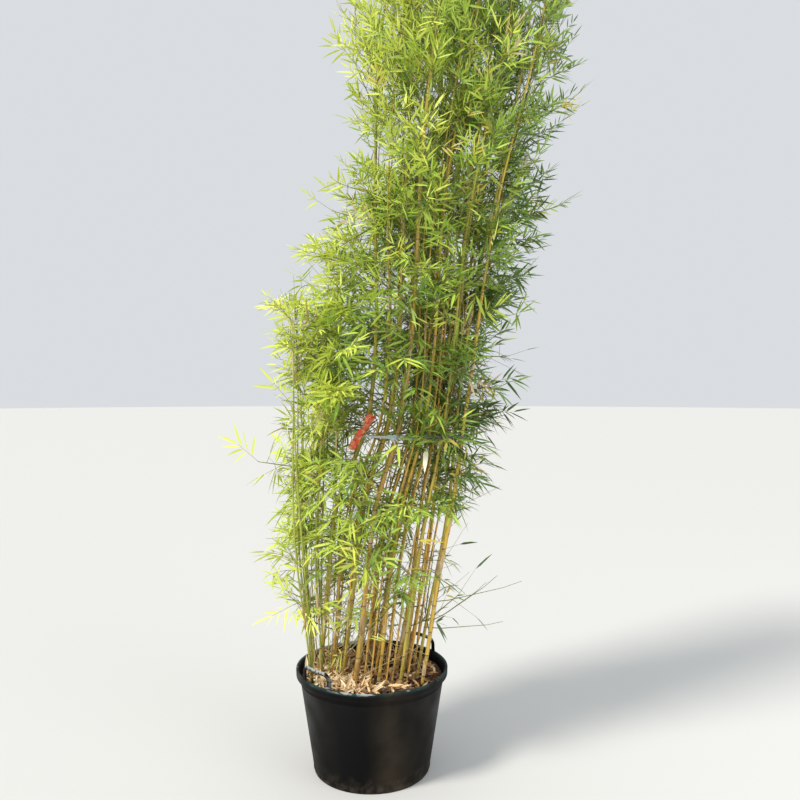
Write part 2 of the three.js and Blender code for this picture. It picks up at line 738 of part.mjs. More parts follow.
class Mass {
  constructor(cell, canes, obstacles) {
    this.cell = cell;
    this.obstacles = obstacles;
    this.bearer = Mass.bearerOf(cell, canes);
    this.canes = canes;
    this.limbs = [];
  }

  /** The outermost cane that passes through the lower part of a cell. */
  static bearerOf(cell, canes) {
    let best = null;
    for (const cane of canes) {
      for (const up of BEARER.ups) {
        const z = mix(cell.low, cell.high, up) + MASS.coneRise * BEARER.out;
        if (z > cane.top - BEARER.belowTip || z < CROWN_LOW + BEARER.aboveFoot) continue;
        const p = cane.middleAt(z);
        if (!cell.holds(p)) continue;
        const { x, halfWidth, halfDepth } = Cell.section(z);
        const out = Math.hypot((p.x - x) / halfWidth, p.y / halfDepth);
        if (best === null || out > best.out + BEARER.better) best = { cane, z, out };
        break;
      }
    }
    return best;
  }

  /** Tests a limb between two points: inside the cell and clear of every cane, tie and ribbon. */
  clear(from, to, halfWidth, reach, own = null) {
    for (const share of [0, 0.25, 0.5, 0.75, 1]) {
      if (!this.cell.holds(from.clone().lerp(to, share), reach)) return false;
    }
    const near = (part) => (
      segmentGap(from, to, part.from, part.to) < part.radius + halfWidth + MASS.clearance
    );
    if (this.obstacles.some(near)) return false;
    return !this.canes.some((cane) => cane !== own && cane.parts.some(near));
  }

  /** Tests that a limb keeps off the twigs and leaves that the mass has. */
  apart(from, to, room) {
    return !this.limbs.some((limb) => segmentGap(from, to, limb.from, limb.to) < room);
  }

  /** How far a point lies from the nearest of the places already taken. */
  solitude(point) {
    return Math.min(...this.places.map((place) => place.distanceTo(point)));
  }

  /** Of some seeded candidates, the one whose place is furthest from those already taken. */
  loneliest(count, candidate) {
    let best = null;
    for (let k = 0; k < count; k += 1) {
      const found = candidate();
      if (found === null) continue;
      found.solitude = this.solitude(found.place);
      if (best === null || found.solitude > best.solitude) best = found;
    }
    if (best !== null) this.places.push(best.place);
    return best;
  }

  /** Grows leaves along a straight twig, the first at its tip. */
  growLeaves(from, tip, count, reach, draw) {
    const along = tip.clone().sub(from).normalize();
    const outward = Cell.outward(tip);
    for (let k = 0; k < count; k += 1) {
      const back = LEAF.tipSeat + k * LEAF.spacing;
      if (back > from.distanceTo(tip) * LEAF.lastSeat) break;
      const seat = tip.clone().addScaledVector(along, -back);
      const leaf = this.loneliest(MASS.tries, () => {
        const lean = along.clone().addScaledVector(outward, LEAF.outward);
        const direction = spreadFrom(lean, k === 0 ? LEAF.tipSpread : LEAF.spread, liftAt(seat.z), draw);
        const facing = spreadFrom(outward, LEAF.facingSpread, LEAF.facingLift, draw);
        const end = seat.clone().addScaledVector(direction, LEAF.length);
        const start = seat.clone().addScaledVector(direction, LEAF.length * LEAF.rootShare);
        if (Math.abs(direction.dot(facing)) > LEAF.flattest) return null;
        if (k > 0 && direction.dot(along) > LEAF.flattest) return null;
        if (!this.apart(start, end, MASS.leafRoom)) return null;
        if (!this.clear(start, end, LEAF.width / 2, reach)) return null;
        return { direction, facing, start, end, place: start.clone().lerp(end, LEAF.placeShare) };
      });
      if (leaf === null) continue;
      this.solids.push(leafSolid(seat, leaf.direction, leaf.facing));
      this.limbs.push({ from: leaf.start, to: leaf.end });
    }
  }

  /** Grows one twig between two points, with its leaves. */
  growTwig(from, tip, reach, draw) {
    const along = tip.clone().sub(from).normalize();
    this.solids.push(twigSolid([from, tip], TWIG.radius, TWIG.tip));
    this.growLeaves(from, tip, LEAF.perTwig, reach, draw);
    this.limbs.push({ from: from.clone().addScaledVector(along, TWIG.stemRadius * 2), to: tip });
  }

  /** Tests that a twig between two points has room. */
  hasRoom(from, tip, reach) {
    const along = tip.clone().sub(from).normalize();
    const beyond = from.clone().addScaledVector(along, TWIG.stemRadius * 2);
    return this.clear(from, tip, TWIG.radius, reach) && this.apart(beyond, tip, MASS.twigRoom);
  }

  /** The path of the stem, from its cane's middle line to the heart of the cell. */
  growStem(draw) {
    const start = this.bearer.cane.middleAt(this.bearer.z);
    for (let attempt = 0; attempt < MASS.tries; attempt += 1) {
      const heart = this.cell.pointIn(STEM_END, draw);
      const bend = start.clone().lerp(heart, STEM_END.bend).add(vector(0, 0, -STEM_END.sag * draw()));
      const isClear = this.clear(start, bend, TWIG.stemRadius, 1, this.bearer.cane)
        && this.clear(bend, heart, TWIG.stemRadius, 1, this.bearer.cane);
      if (isClear) return [start, bend, heart];
    }
    throw new Error(`no room for the stem of ${this.cell.name}`);
  }

  /** A point on the stem, at a share of its length. */
  onStem(share) {
    const [foot, bend, heart] = this.stem;
    return share < 0.5 ? foot.clone().lerp(bend, share * 2) : bend.clone().lerp(heart, share * 2 - 1);
  }

  /** Grows the long twig of a sprig, if it has room. */
  growSprig(sprig) {
    const draw = seeded(this.cell.seed * MASS.sprigSeed);
    const end = vector(...sprig.tip);
    for (let attempt = 0; attempt < MASS.tries; attempt += 1) {
      const from = this.onStem(mix(...SPRIG_ROOTS, draw()));
      const leafPart = end.clone().sub(from).setLength(LEAF.length * mix(...SPRIG_LEAF, draw()));
      const tip = end.clone().sub(leafPart);
      if (!this.hasRoom(from, tip, SPRIG_REACH)) continue;
      this.growTwig(from, tip, SPRIG_REACH, draw);
      return;
    }
    throw new Error(`no room for the sprig of ${this.cell.name}`);
  }

  /** Grows the stem, its twigs and their leaves, and joins them. */
  grow() {
    const { cell } = this;
    this.stem = this.growStem(seeded(cell.seed));
    const [foot, bend, heart] = this.stem;
    this.places = [foot];
    this.solids = [twigSolid(this.stem, TWIG.stemRadius, TWIG.stemTip)];
    SPRIGS.filter((sprig) => sprig.mass === cell.name).forEach((sprig) => this.growSprig(sprig));
    this.growLeaves(bend, heart, LEAF.perStem, 1, seeded(cell.seed * MASS.stemSeed));
    for (let k = 0; k < MASS.twigs; k += 1) {
      const draw = seeded(cell.seed * MASS.twigSeed + k);
      const twig = this.loneliest(MASS.tries, () => {
        const from = this.onStem(mix(...TWIG_ROOTS, (k + draw()) / MASS.twigs));
        const tip = cell.pointIn(TWIG_END, draw);
        const length = tip.distanceTo(from);
        if (length < LEAF.length * TWIG.shortest || length > TWIG.longest) return null;
        return this.hasRoom(from, tip, 1) ? { from, tip, place: tip } : null;
      });
      if (twig !== null) this.growTwig(twig.from, twig.tip, 1, draw);
    }
    return fuse(this.solids).subtract(solidOf(this.bearer.cane.tube(GAP)));
  }
}

function makeFoliage(canes) {
  const obstacles = [...tieSegments(canes), ...ribbonSegments(canes)];
  for (let band = 0; band < MASS.bands; band += 1) {
    for (let sector = 0; sector < MASS.sectors.length; sector += 1) {
      const mass = new Mass(new Cell(sector, band), canes, obstacles);
      addNode(mass.cell.name, geometryOf(mass.grow()), COLOURS.leaf);
    }
  }
}

function addCane(cane) {
  const finish = cane.stations === CLUMP ? COLOURS.cane : COLOURS.shoot;
  addNode(cane.name, geometryOf(solidOf(cane.tube()), 0), finish);
}

makeTub();
makeSoil();
makeHandle('left');
makeHandle('right');
const canes = makeCanes();
canes.forEach(addCane);
makeTie(canes);
makeRibbon(canes);
makeFoliage(canes);

export default object;
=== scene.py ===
"""Dresses the potted bamboo for rendering.

A black nursery tub with two strap handles holds potting mix under a litter of dry leaves. Golden
canes lean to the right and are gathered by a tie, young shoots stand at the left, a marker ribbon
hangs from one cane, and leafy twigs grow all round.

Blender's side works in metres, +Z up, with the front towards -Y. The growth rule is the part's own
and works in millimetres.
"""

import logging
from collections.abc import Callable, Sequence
from dataclasses import dataclass, field, fields
from enum import Enum
from math import copysign, cos, hypot, pi, radians, sin, sqrt

import bmesh
import bpy
import numpy as np
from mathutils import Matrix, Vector, noise
from numpy.linalg import norm


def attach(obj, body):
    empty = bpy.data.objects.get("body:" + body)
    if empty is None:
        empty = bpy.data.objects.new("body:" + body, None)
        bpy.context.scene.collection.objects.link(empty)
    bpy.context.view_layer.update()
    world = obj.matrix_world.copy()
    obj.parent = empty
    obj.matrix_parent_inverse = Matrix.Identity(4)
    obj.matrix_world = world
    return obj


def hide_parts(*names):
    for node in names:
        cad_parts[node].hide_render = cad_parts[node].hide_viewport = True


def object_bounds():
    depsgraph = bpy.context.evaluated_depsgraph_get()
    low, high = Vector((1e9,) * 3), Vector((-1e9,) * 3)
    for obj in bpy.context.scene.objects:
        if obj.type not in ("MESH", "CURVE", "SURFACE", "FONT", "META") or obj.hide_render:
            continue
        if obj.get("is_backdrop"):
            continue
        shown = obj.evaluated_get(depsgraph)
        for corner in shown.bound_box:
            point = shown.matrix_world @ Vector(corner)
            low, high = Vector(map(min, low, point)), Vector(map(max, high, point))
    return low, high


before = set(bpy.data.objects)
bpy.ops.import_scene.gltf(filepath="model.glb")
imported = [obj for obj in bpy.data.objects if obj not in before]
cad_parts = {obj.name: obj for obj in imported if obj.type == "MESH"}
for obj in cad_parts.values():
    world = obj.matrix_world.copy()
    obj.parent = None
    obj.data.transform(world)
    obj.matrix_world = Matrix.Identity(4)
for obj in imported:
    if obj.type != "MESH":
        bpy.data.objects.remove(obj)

Array = np.ndarray
Value = float | Array
Pair = tuple[float, float]
Triple = tuple[float, float, float]
Steps = tuple[float, ...]
Colour = Triple
Mesh, BMesh = bpy.types.Mesh, bmesh.types.BMesh
Material, Socket = bpy.types.Material, bpy.types.NodeSocket

TURN = 2.0 * pi
GOLDEN = (sqrt(5.0) - 1.0) / 2.0
MM = 0.001
UP = np.array([0.0, 0.0, 1.0])
SOIL_TOP = 362.0
GAP = 0.3

log = logging.getLogger("potted_bamboo")


def mix(low: Value, high: Value, share: Value) -> Value:
    """Returns the value at a share of the way from low to high."""
    return low + (high - low) * share


def ramp(value: Value, low: float, high: float) -> Array:
    """Returns 0 below low, 1 above high and a smooth rise between."""
    t = np.clip((value - low) / (high - low), 0.0, 1.0)
    return t * t * (3.0 - 2.0 * t)


def unit(vectors: Array | Sequence) -> Array:
    """Returns vectors scaled to length 1, along their last axis."""
    return vectors / np.maximum(norm(vectors, axis=-1, keepdims=True), 1e-9)


def smooth_at(heights: Sequence[float], values: Sequence[float], z: Value) -> Array:
    """Reads a size on the smooth curve through its stations.

    Args:
        heights: The stations' heights, rising.
        values: The size at each station.
        z: The heights to read at.

    Returns:
        The size at each height.
    """
    h, v = np.asarray(heights, float), np.asarray(values, float)
    last = len(h) - 1
    z = np.clip(z, h[0], h[-1])
    i = np.clip(np.searchsorted(h, z, side="left") - 1, 0, last - 1)
    before, after = np.maximum(np.arange(last + 1) - 1, 0), np.minimum(np.arange(last + 1) + 1, last)
    slope = (v[after] - v[before]) / (h[after] - h[before])
    step = h[i + 1] - h[i]
    t = (z - h[i]) / step
    rise = t * t * (3.0 - 2.0 * t)
    leave = t * (1.0 - t) ** 2 * step * slope[i]
    arrive = t * t * (t - 1.0) * step * slope[i + 1]
    return mix(v[i], v[i + 1], rise) + leave + arrive


def segment_gaps(p1: Array, q1: Array, p2: Array, q2: Array) -> Array:
    """Measures the distances between line segments.

    Args:
        p1: The starts of n segments.
        q1: Their ends.
        p2: The starts of m segments.
        q2: Their ends.

    Returns:
        The n by m distances.
    """
    d1, d2 = (q1 - p1)[:, None], (q2 - p2)[None]
    r = p1[:, None] - p2[None]
    a, e = (d1 * d1).sum(-1), (d2 * d2).sum(-1)
    f, c, b = (d2 * r).sum(-1), (d1 * r).sum(-1), (d1 * d2).sum(-1)
    denominator = a * e - b * b
    free = denominator > 1e-9
    s = np.where(free, np.clip((b * f - c * e) / np.where(free, denominator, 1.0), 0.0, 1.0), 0.0)
    t = np.clip((b * s + f) / e, 0.0, 1.0)
    s = np.clip((b * t - c) / a, 0.0, 1.0)
    return norm(r + d1 * s[..., None] - d2 * t[..., None], axis=-1)


def dealt(counts: Array) -> tuple[Array, Array]:
    """Returns the owner of each of many things and its turn there, from how many each owner has."""
    owner = np.repeat(np.arange(len(counts)), counts)
    return owner, np.arange(len(owner)) - np.repeat(np.cumsum(counts) - counts, counts)


class Draw:
    """Seeded numbers from 0 to 1, the same as the part's own rule draws for the same seed."""

    STEP, MASK = 0x6D2B79F5, 0xFFFFFFFF

    def __init__(self, seed: int) -> None:
        """Starts the draws at a seed."""
        self.state = seed & self.MASK

    def take(self, count: int) -> Array:
        """Draws the next numbers.

        Args:
            count: How many.

        Returns:
            The numbers.
        """
        mask = np.uint64(self.MASK)
        t = (np.uint64(self.state) + np.arange(1, count + 1, dtype=np.uint64) * np.uint64(self.STEP)) & mask
        self.state = int(t[-1])
        t = ((t ^ (t >> np.uint64(15))) * (t | np.uint64(1))) & mask
        t = t ^ ((t + (((t ^ (t >> np.uint64(7))) * (t | np.uint64(61))) & mask)) & mask)
        return (t ^ (t >> np.uint64(14))).astype(float) / 4294967296.0

    def one(self) -> float:
        """Returns the next number."""
        return float(self.take(1)[0])


# The growth rule: canes, the cells of the crown and the skeleton of each mass, in millimetres.


@dataclass(frozen=True)
class Clump:
    """The middle and half-widths of a group of canes, at heights above the ground."""

    heights: Steps
    x: Steps
    half_width: Steps
    half_depth: Steps


CLUMP = Clump(
    heights=(362, 1000, 1400, 2200, 3000, 3900),
    x=(10, 100, 190, 270, 380, 470),
    half_width=(222, 245, 195, 265, 330, 360),
    half_depth=(205, 195, 165, 230, 290, 320),
)
SHOOTS = Clump(
    heights=(362, 1000, 2100),
    x=(-212, -245, -235),
    half_width=(26, 50, 90),
    half_depth=(95, 150, 220),
)


@dataclass
class CaneLine:
    """The middle line and thickness of one cane, from the soil to its tip."""

    name: str
    clump: Clump
    u: float
    v: float
    radius: float
    top: float
    phases: Pair
    foot: float = SOIL_TOP + GAP
    rings: int = 8
    tip_share: float = 0.35
    taper_power: float = 1.5
    wobble: float = 9.0
    wobble_rise: float = 400.0
    wave_x: float = 230.0
    wave_y: float = 260.0
    first_joint: float = 38.0
    last_joint: float = 25.0
    joint_gap: float = 72.0
    joint_widening: float = 74.0

    def at(self, z: Value) -> Array:
        """Reads the middle line.

        Args:
            z: The heights to read at.

        Returns:
            Its points there.
        """
        z = np.asarray(z, float)
        sway = np.minimum((z - self.foot) / self.wobble_rise, 1.0) * self.wobble
        line = self.clump
        x = smooth_at(line.heights, line.x, z) + self.u * smooth_at(line.heights, line.half_width, z)
        y = self.v * smooth_at(line.heights, line.half_depth, z)
        x = x + sway * np.sin(z / self.wave_x + self.phases[0])
        y = y + sway * np.sin(z / self.wave_y + self.phases[1])
        return np.stack([x, y, z], axis=-1)

    def radius_at(self, z: Value) -> Array:
        """Returns the radius at heights."""
        share = np.clip((np.asarray(z, float) - self.foot) / (self.top - self.foot), 0.0, 1.0)
        return self.radius * mix(1.0, self.tip_share, share**self.taper_power)

    def ring_heights(self) -> Array:
        """Returns the heights of the solid's rings."""
        return mix(self.foot, self.top, np.arange(self.rings + 1) / self.rings)

    def middle_at(self, z: float) -> Array:
        """Returns the middle of the solid, whose rings are joined by straight lines."""
        heights = self.ring_heights()
        points = self.at(heights)
        return np.array([np.interp(z, heights, points[:, 0]), np.interp(z, heights, points[:, 1]), z])

    def is_shoot(self) -> bool:
        """Tells a young shoot from a cane of the clump."""
        return self.clump is SHOOTS

    def joints(self) -> list[float]:
        """Spaces the joints, closer together at the foot and the tip.

        Returns:
            Their heights.
        """
        random = np.random.default_rng(int(self.phases[0] * 1e6))
        heights, z = [], self.foot + self.first_joint
        while z < self.top - self.last_joint:
            heights.append(z)
            share = (z - self.foot) / (self.top - self.foot)
            gap = self.joint_gap + self.joint_widening * sin(pi * share**0.75)
            z += gap * random.uniform(0.92, 1.08)
        return heights


@dataclass
class CaneRule:
    """Places the canes like the seeds of a sunflower, closer to the right, and the shoots in two rows."""

    seed: int = 41
    count: int = 18
    shoots: int = 6
    thin: float = 6.5
    thick: float = 12.0
    thin_power: float = 1.6
    shoot_radius: float = 5.5
    lowest_top: float = 3050.0
    highest_top: float = 3760.0
    shoot_top: float = 1850.0
    shoot_top_range: float = 180.0
    crowding: float = 0.2
    scatter: float = 0.06
    shoot_row: float = 0.8
    shoot_row_bend: float = 0.3

    def lines(self) -> list[CaneLine]:
        """Places every cane and shoot of the solids.

        Returns:
            Their middle lines.
        """
        draw = Draw(self.seed)
        canes = []
        for k in range(self.count):
            reach = sqrt((k + 0.5) / self.count)
            angle = k * GOLDEN * TURN
            even = reach * cos(angle)
            u = even + self.crowding * (1.0 - even * even) + self.scatter * (draw.one() - 0.5)
            v = reach * sin(angle) + self.scatter * (draw.one() - 0.5)
            radius = mix(self.thin, self.thick, draw.one() ** self.thin_power)
            top = mix(self.highest_top, self.lowest_top, draw.one())
            phases = (draw.one() * TURN, draw.one() * TURN)
            canes.append(CaneLine(f"cane_{k + 1:02d}", CLUMP, u, v, radius, top, phases))
        for k in range(self.shoots):
            v = mix(-1.0, 1.0, k / (self.shoots - 1))
            u = (self.shoot_row if k % 2 else -self.shoot_row) * (1.0 - self.shoot_row_bend * v * v)
            top = self.shoot_top + self.shoot_top_range * (draw.one() - 0.5)
            phases = (draw.one() * TURN, draw.one() * TURN)
            canes.append(CaneLine(f"shoot_{k + 1}", SHOOTS, u, v, self.shoot_radius, top, phases))
        return canes


@dataclass
class Rows:
    """Many like things, kept as arrays with a row for each."""

    @classmethod
    def joined(cls, parts: "Sequence[Rows]") -> "Rows":
        """Returns several lots as one."""
        return cls(*(np.concatenate([getattr(part, f.name) for part in parts]) for f in fields(cls)))

    def picked(self, which: Array) -> "Rows":
        """Returns the rows that a mask or index picks."""
        return type(self)(*(getattr(self, f.name)[which] for f in fields(self)))


@dataclass
class Segments(Rows):
    """Straight thick lines that twigs and leaves keep clear of."""

    starts: Array
    ends: Array
    radii: Array
    owners: Array

    @staticmethod
    def of_canes(canes: Sequence[CaneLine]) -> "Segments":
        """Cuts canes into the stretches between their rings.

        Args:
            canes: The canes.

        Returns:
            All their stretches.
        """
        lots = []
        for cane in canes:
            heights, names = cane.ring_heights(), np.full(cane.rings, cane.name)
            points = cane.at(heights)
            lots.append(Segments(points[:-1], points[1:], cane.radius_at(heights[:-1]), names))
        return Segments.joined(lots)


class Crown:
    """The foliage's outline and its cells, four round the middle in each band."""

    HEIGHTS = (470, 850, 1250, 1650, 2050, 2450, 3040, 3500, 3900)
    LEFT = (-290, -400, -385, -400, -320, -220, -120, 40, 240)
    RIGHT = (300, 430, 530, 600, 760, 790, 880, 860, 740)
    DEPTH = 0.88
    LOW, TOP = 470.0, 3900.0
    BANDS = 7
    SECTORS = ("right", "back", "left", "front")
    STAGGER = 0.45
    CONE_RISE = 130.0
    MARGIN = 4.0

    @classmethod
    def section(cls, z: Value) -> tuple[Array, Array, Array]:
        """Returns the crown's middle, half-width and half-depth at heights."""
        left, right = smooth_at(cls.HEIGHTS, cls.LEFT, z), smooth_at(cls.HEIGHTS, cls.RIGHT, z)
        half = (right - left) / 2.0
        return (left + right) / 2.0, half, half * cls.DEPTH

    @classmethod
    def outward(cls, points: Array) -> Array:
        """Returns the level directions away from the crown's middle at points."""
        away = np.array(points, float)
        away[..., 0] -= cls.section(away[..., 2])[0]
        away[..., 2] = 0.0
        return unit(away)

    @classmethod
    def polar(cls, points: Array) -> tuple[Array, Array]:
        """Returns how far out points lie, as shares of the outline, and their angles round the middle."""
        x, half_width, half_depth = cls.section(points[..., 2])
        dx, dy = (points[..., 0] - x) / half_width, points[..., 1] / half_depth
        return np.hypot(dx, dy), np.arctan2(dy, dx)

    @classmethod
    def floor(cls, sector: int, band: int) -> float:
        """Returns the height at the crown's middle of the floor of a sector's band."""
        rise = (cls.TOP - cls.LOW) / cls.BANDS
        shift = cls.STAGGER * rise * (1.0 - band / cls.BANDS) if sector % 2 else 0.0
        return cls.LOW + band * rise + shift - cls.CONE_RISE / 2.0

    @classmethod
    def cell_numbers(cls, points: Array) -> Array:
        """Finds the cell that each point lies in.

        Args:
            points: The points, in rows.

        Returns:
            The cells' numbers: sector times the bands, plus band.
        """
        out, angle = cls.polar(points)
        sectors = np.round(angle / (pi / 2.0)).astype(int) % len(cls.SECTORS)
        base = points[..., 2] - cls.CONE_RISE * np.minimum(out, 1.0)
        bands = np.zeros(len(points), int)
        for sector in range(len(cls.SECTORS)):
            floors = [cls.floor(sector, band) for band in range(1, cls.BANDS)]
            inside = sectors == sector
            bands[inside] = np.searchsorted(floors, base[inside])
        return sectors * cls.BANDS + bands


@dataclass
class Cell:
    """One mass's own share of the crown."""

    sector: int
    band: int

    def __post_init__(self) -> None:
        """Works out the cell's name, seed and limits."""
        last = self.band == Crown.BANDS - 1
        self.place = f"{Crown.SECTORS[self.sector]}_{self.band + 1}"
        self.name = f"leaves_{self.place}"
        self.seed = 1000 + self.sector * 100 + self.band
        self.low = Crown.LOW - Crown.CONE_RISE if self.band == 0 else Crown.floor(self.sector, self.band)
        self.high = Crown.TOP + Crown.CONE_RISE if last else Crown.floor(self.sector, self.band + 1)
        self.middle = self.sector * pi / 2.0
        self.half_angle = pi / 4.0

    def points_in(self, ranges: Sequence[Pair], draws: Array) -> Array:
        """Places points within ranges of the cell.

        Args:
            ranges: The least and most across, outwards and up, as shares.
            draws: Draws in rows of three.

        Returns:
            A point for each row.
        """
        across, out, up = (mix(*span, draws[..., k]) for k, span in enumerate(ranges))
        z = mix(self.low, self.high, up) + Crown.CONE_RISE * out
        x, half_width, half_depth = Crown.section(z)
        angle = self.middle + mix(-self.half_angle, self.half_angle, across)
        return np.stack([x + out * half_width * np.cos(angle), out * half_depth * np.sin(angle), z], axis=-1)

    def holds(self, points: Array, reach: float = 1.0) -> Array:
        """Tests which points lie in the cell.

        Args:
            points: The points.
            reach: The furthest out they may be, in shares of the crown's half-width.

        Returns:
            True for each that does.
        """
        z = points[..., 2]
        out, turn = Crown.polar(points)
        turn = np.abs(np.arctan2(np.sin(turn - self.middle), np.cos(turn - self.middle)))
        base = z - Crown.CONE_RISE * np.minimum(out, 1.0)
        half_depth = Crown.section(z)[2]
        inside = (z >= Crown.LOW) & (z <= Crown.TOP) & (out <= reach)
        inside &= (base >= self.low + Crown.MARGIN) & (base <= self.high - Crown.MARGIN)
        inside &= turn < self.half_angle
        return inside & (out * half_depth * np.sin(self.half_angle - turn) > Crown.MARGIN)


@dataclass
class Sprays(Rows):
    """Short twiglets that each bear one fan of leaves."""

    seats: Array
    directions: Array
    lengths: Array
    facings: Array
    vigour: Array

    def tips(self) -> Array:
        """Returns the ends of the twiglets."""
        return self.seats + self.directions * self.lengths[:, None]


class MassRule:
    """Grows one mass's skeleton exactly as the part's own rule does: stem, twigs and end leaves."""

    TWIGS, TRIES = 3, 120
    LEAF_ROOM, TWIG_ROOM, CLEARANCE = 20.0, 16.0, 1.5
    SPRIG_SEED, STEM_SEED, TWIG_SEED = 57, 13, 31
    BEARER_UPS, BEARER_OUT, BELOW_TIP, ABOVE_FOOT = (0.3, 0.2, 0.4, 0.12, 0.5), 0.4, 60.0, 20.0
    STEM_END = ((0.3, 0.7), (0.45, 0.7), (0.4, 0.6))
    TWIG_END = ((0.1, 0.9), (0.25, 0.82), (0.06, 0.8))
    SAG = 25.0
    TWIG_ROOTS, SPRIG_ROOTS, SPRIG_LEAF = (0.25, 0.9), (0.35, 0.97), (0.6, 0.9)
    STEM_RADIUS, TWIG_RADIUS, LONGEST, SHORTEST = 6.0, 4.2, 420.0, 0.5
    LEAF_LENGTH, LEAF_WIDTH, TIP_SEAT, SPACING = 225.0, 46.0, 4.0, 30.0
    PER_TWIG, PER_STEM, LAST_SEAT, ROOT_SHARE, PLACE_SHARE = 6, 3, 0.85, 0.05, 0.6
    OUTWARD, TIP_SPREAD, SPREAD, FACING_SPREAD, FACING_LIFT, FLATTEST = 0.35, 0.9, 1.9, 0.9, 0.7, 0.88
    SHARES = np.array([0.0, 0.25, 0.5, 0.75, 1.0])
    SPRIG_REACH = 9.0
    SPRIGS = {
        "leaves_left_1": (-440.0, -60.0, 800.0),
        "leaves_left_2": (-590.0, -90.0, 1240.0),
        "leaves_left_4": (-300.0, 60.0, 2250.0),
        "leaves_right_1": (470.0, -60.0, 800.0),
        "leaves_right_3": (690.0, 60.0, 1620.0),
        "leaves_right_7": (640.0, 30.0, 3850.0),
        "leaves_back_7": (500.0, 130.0, 3860.0),
        "leaves_left_7": (330.0, -20.0, 3850.0),
        "leaves_front_7": (480.0, -140.0, 3860.0),
    }

    def __init__(self, cell: Cell, canes: Sequence[CaneLine], obstacles: Segments) -> None:
        """Starts the mass on its cane.

        Args:
            cell: Its share of the crown.
            canes: Every cane.
            obstacles: All that its twigs and leaves keep clear of.
        """
        self.cell = cell
        self.obstacles = obstacles
        self.bearer, self.height = self.find_bearer(canes)
        self.limb_starts: list[Array] = []
        self.limb_ends: list[Array] = []
        self.limbs: list[Array] = []
        self.leaves: list[tuple[Array, Array, Array]] = []
        self.places: list[Array] = []

    @staticmethod
    def lift_at(z: float) -> float:
        """Returns how far leaves point up at a height: they stand up towards the top."""
        return float(mix(-0.1, 0.9, ramp(z, 900.0, 3300.0)))

    def find_bearer(self, canes: Sequence[CaneLine]) -> tuple[CaneLine, float]:
        """Finds the outermost cane that passes through the lower part of the cell.

        Args:
            canes: Every cane.

        Returns:
            The cane, and the height where the stem leaves it.
        """
        best, best_out, best_z = None, -1.0, 0.0
        for cane in canes:
            for up in self.BEARER_UPS:
                z = mix(self.cell.low, self.cell.high, up) + Crown.CONE_RISE * self.BEARER_OUT
                point = cane.middle_at(z)
                if Crown.LOW + self.ABOVE_FOOT <= z <= cane.top - self.BELOW_TIP and self.cell.holds(point):
                    out = float(Crown.polar(point)[0])
                    if out > best_out + 0.001:
                        best, best_out, best_z = cane, out, z
                    break
        return best, best_z

    def clear(self, starts: Array, ends: Array, half_width: float, reach: float, own: str = "") -> Array:
        """Tests which lines keep inside the cell and clear of canes, tie and ribbon.

        Args:
            starts: The lines' starts.
            ends: Their ends.
            half_width: Half the thickness of what grows along them.
            reach: The furthest out they may be.
            own: The cane that they may touch.

        Returns:
            True for each that does.
        """
        samples = starts[:, None] + (ends - starts)[:, None] * self.SHARES[None, :, None]
        inside = self.cell.holds(samples, reach).all(axis=1)
        others = self.obstacles
        gaps = segment_gaps(starts, ends, others.starts, others.ends)
        near = gaps < others.radii + half_width + self.CLEARANCE
        near &= others.owners != own
        return inside & ~near.any(axis=1)

    def apart(self, starts: Array, ends: Array, room: float) -> Array:
        """Tests which lines keep off the twigs and leaves that the mass has.

        Args:
            starts: The lines' starts.
            ends: Their ends.
            room: The least distance.

        Returns:
            True for each that does.
        """
        if not self.limb_starts:
            return np.ones(len(starts), bool)
        gaps = segment_gaps(starts, ends, np.array(self.limb_starts), np.array(self.limb_ends))
        return ~(gaps < room).any(axis=1)

    def loneliest(self, allowed: Array, places: Array) -> int | None:
        """Takes the allowed candidate that is furthest from the places taken.

        Args:
            allowed: True for each candidate that fits.
            places: Each one's place.

        Returns:
            Its number, or None.
        """
        if not allowed.any():
            return None
        taken = np.array(self.places)
        solitude = norm(places[:, None] - taken[None], axis=-1).min(axis=1)
        pick = int(np.argmax(np.where(allowed, solitude, -1.0)))
        self.places.append(places[pick])
        return pick

    def grow_leaves(self, start: Array, tip: Array, count: int, reach: float, draw: Draw) -> None:
        """Grows end leaves along a straight twig, the first at its tip.

        Args:
            start: The twig's root.
            tip: Its tip.
            count: The most leaves.
            reach: The furthest out they may be.
            draw: Where the numbers come from.
        """
        along, outward = unit(tip - start), Crown.outward(tip)
        for k in range(count):
            back = self.TIP_SEAT + k * self.SPACING
            if back > float(norm(tip - start)) * self.LAST_SEAT:
                break
            seat = tip - along * back
            draws = draw.take(self.TRIES * 6).reshape(self.TRIES, 6) - 0.5
            spread = self.TIP_SPREAD if k == 0 else self.SPREAD
            lean = along + outward * self.OUTWARD
            direction = unit(lean + 2.0 * spread * draws[:, :3] + UP * self.lift_at(seat[2]))
            facing = unit(outward + 2.0 * self.FACING_SPREAD * draws[:, 3:] + UP * self.FACING_LIFT)
            starts = seat + direction * self.LEAF_LENGTH * self.ROOT_SHARE
            ends = seat + direction * self.LEAF_LENGTH
            allowed = np.abs((direction * facing).sum(-1)) <= self.FLATTEST
            if k > 0:
                allowed &= direction @ along <= self.FLATTEST
            allowed &= self.apart(starts, ends, self.LEAF_ROOM)
            allowed &= self.clear(starts, ends, self.LEAF_WIDTH / 2.0, reach)
            pick = self.loneliest(allowed, mix(starts, ends, self.PLACE_SHARE))
            if pick is None:
                continue
            self.leaves.append((seat, direction[pick], facing[pick]))
            self.limb_starts.append(starts[pick])
            self.limb_ends.append(ends[pick])

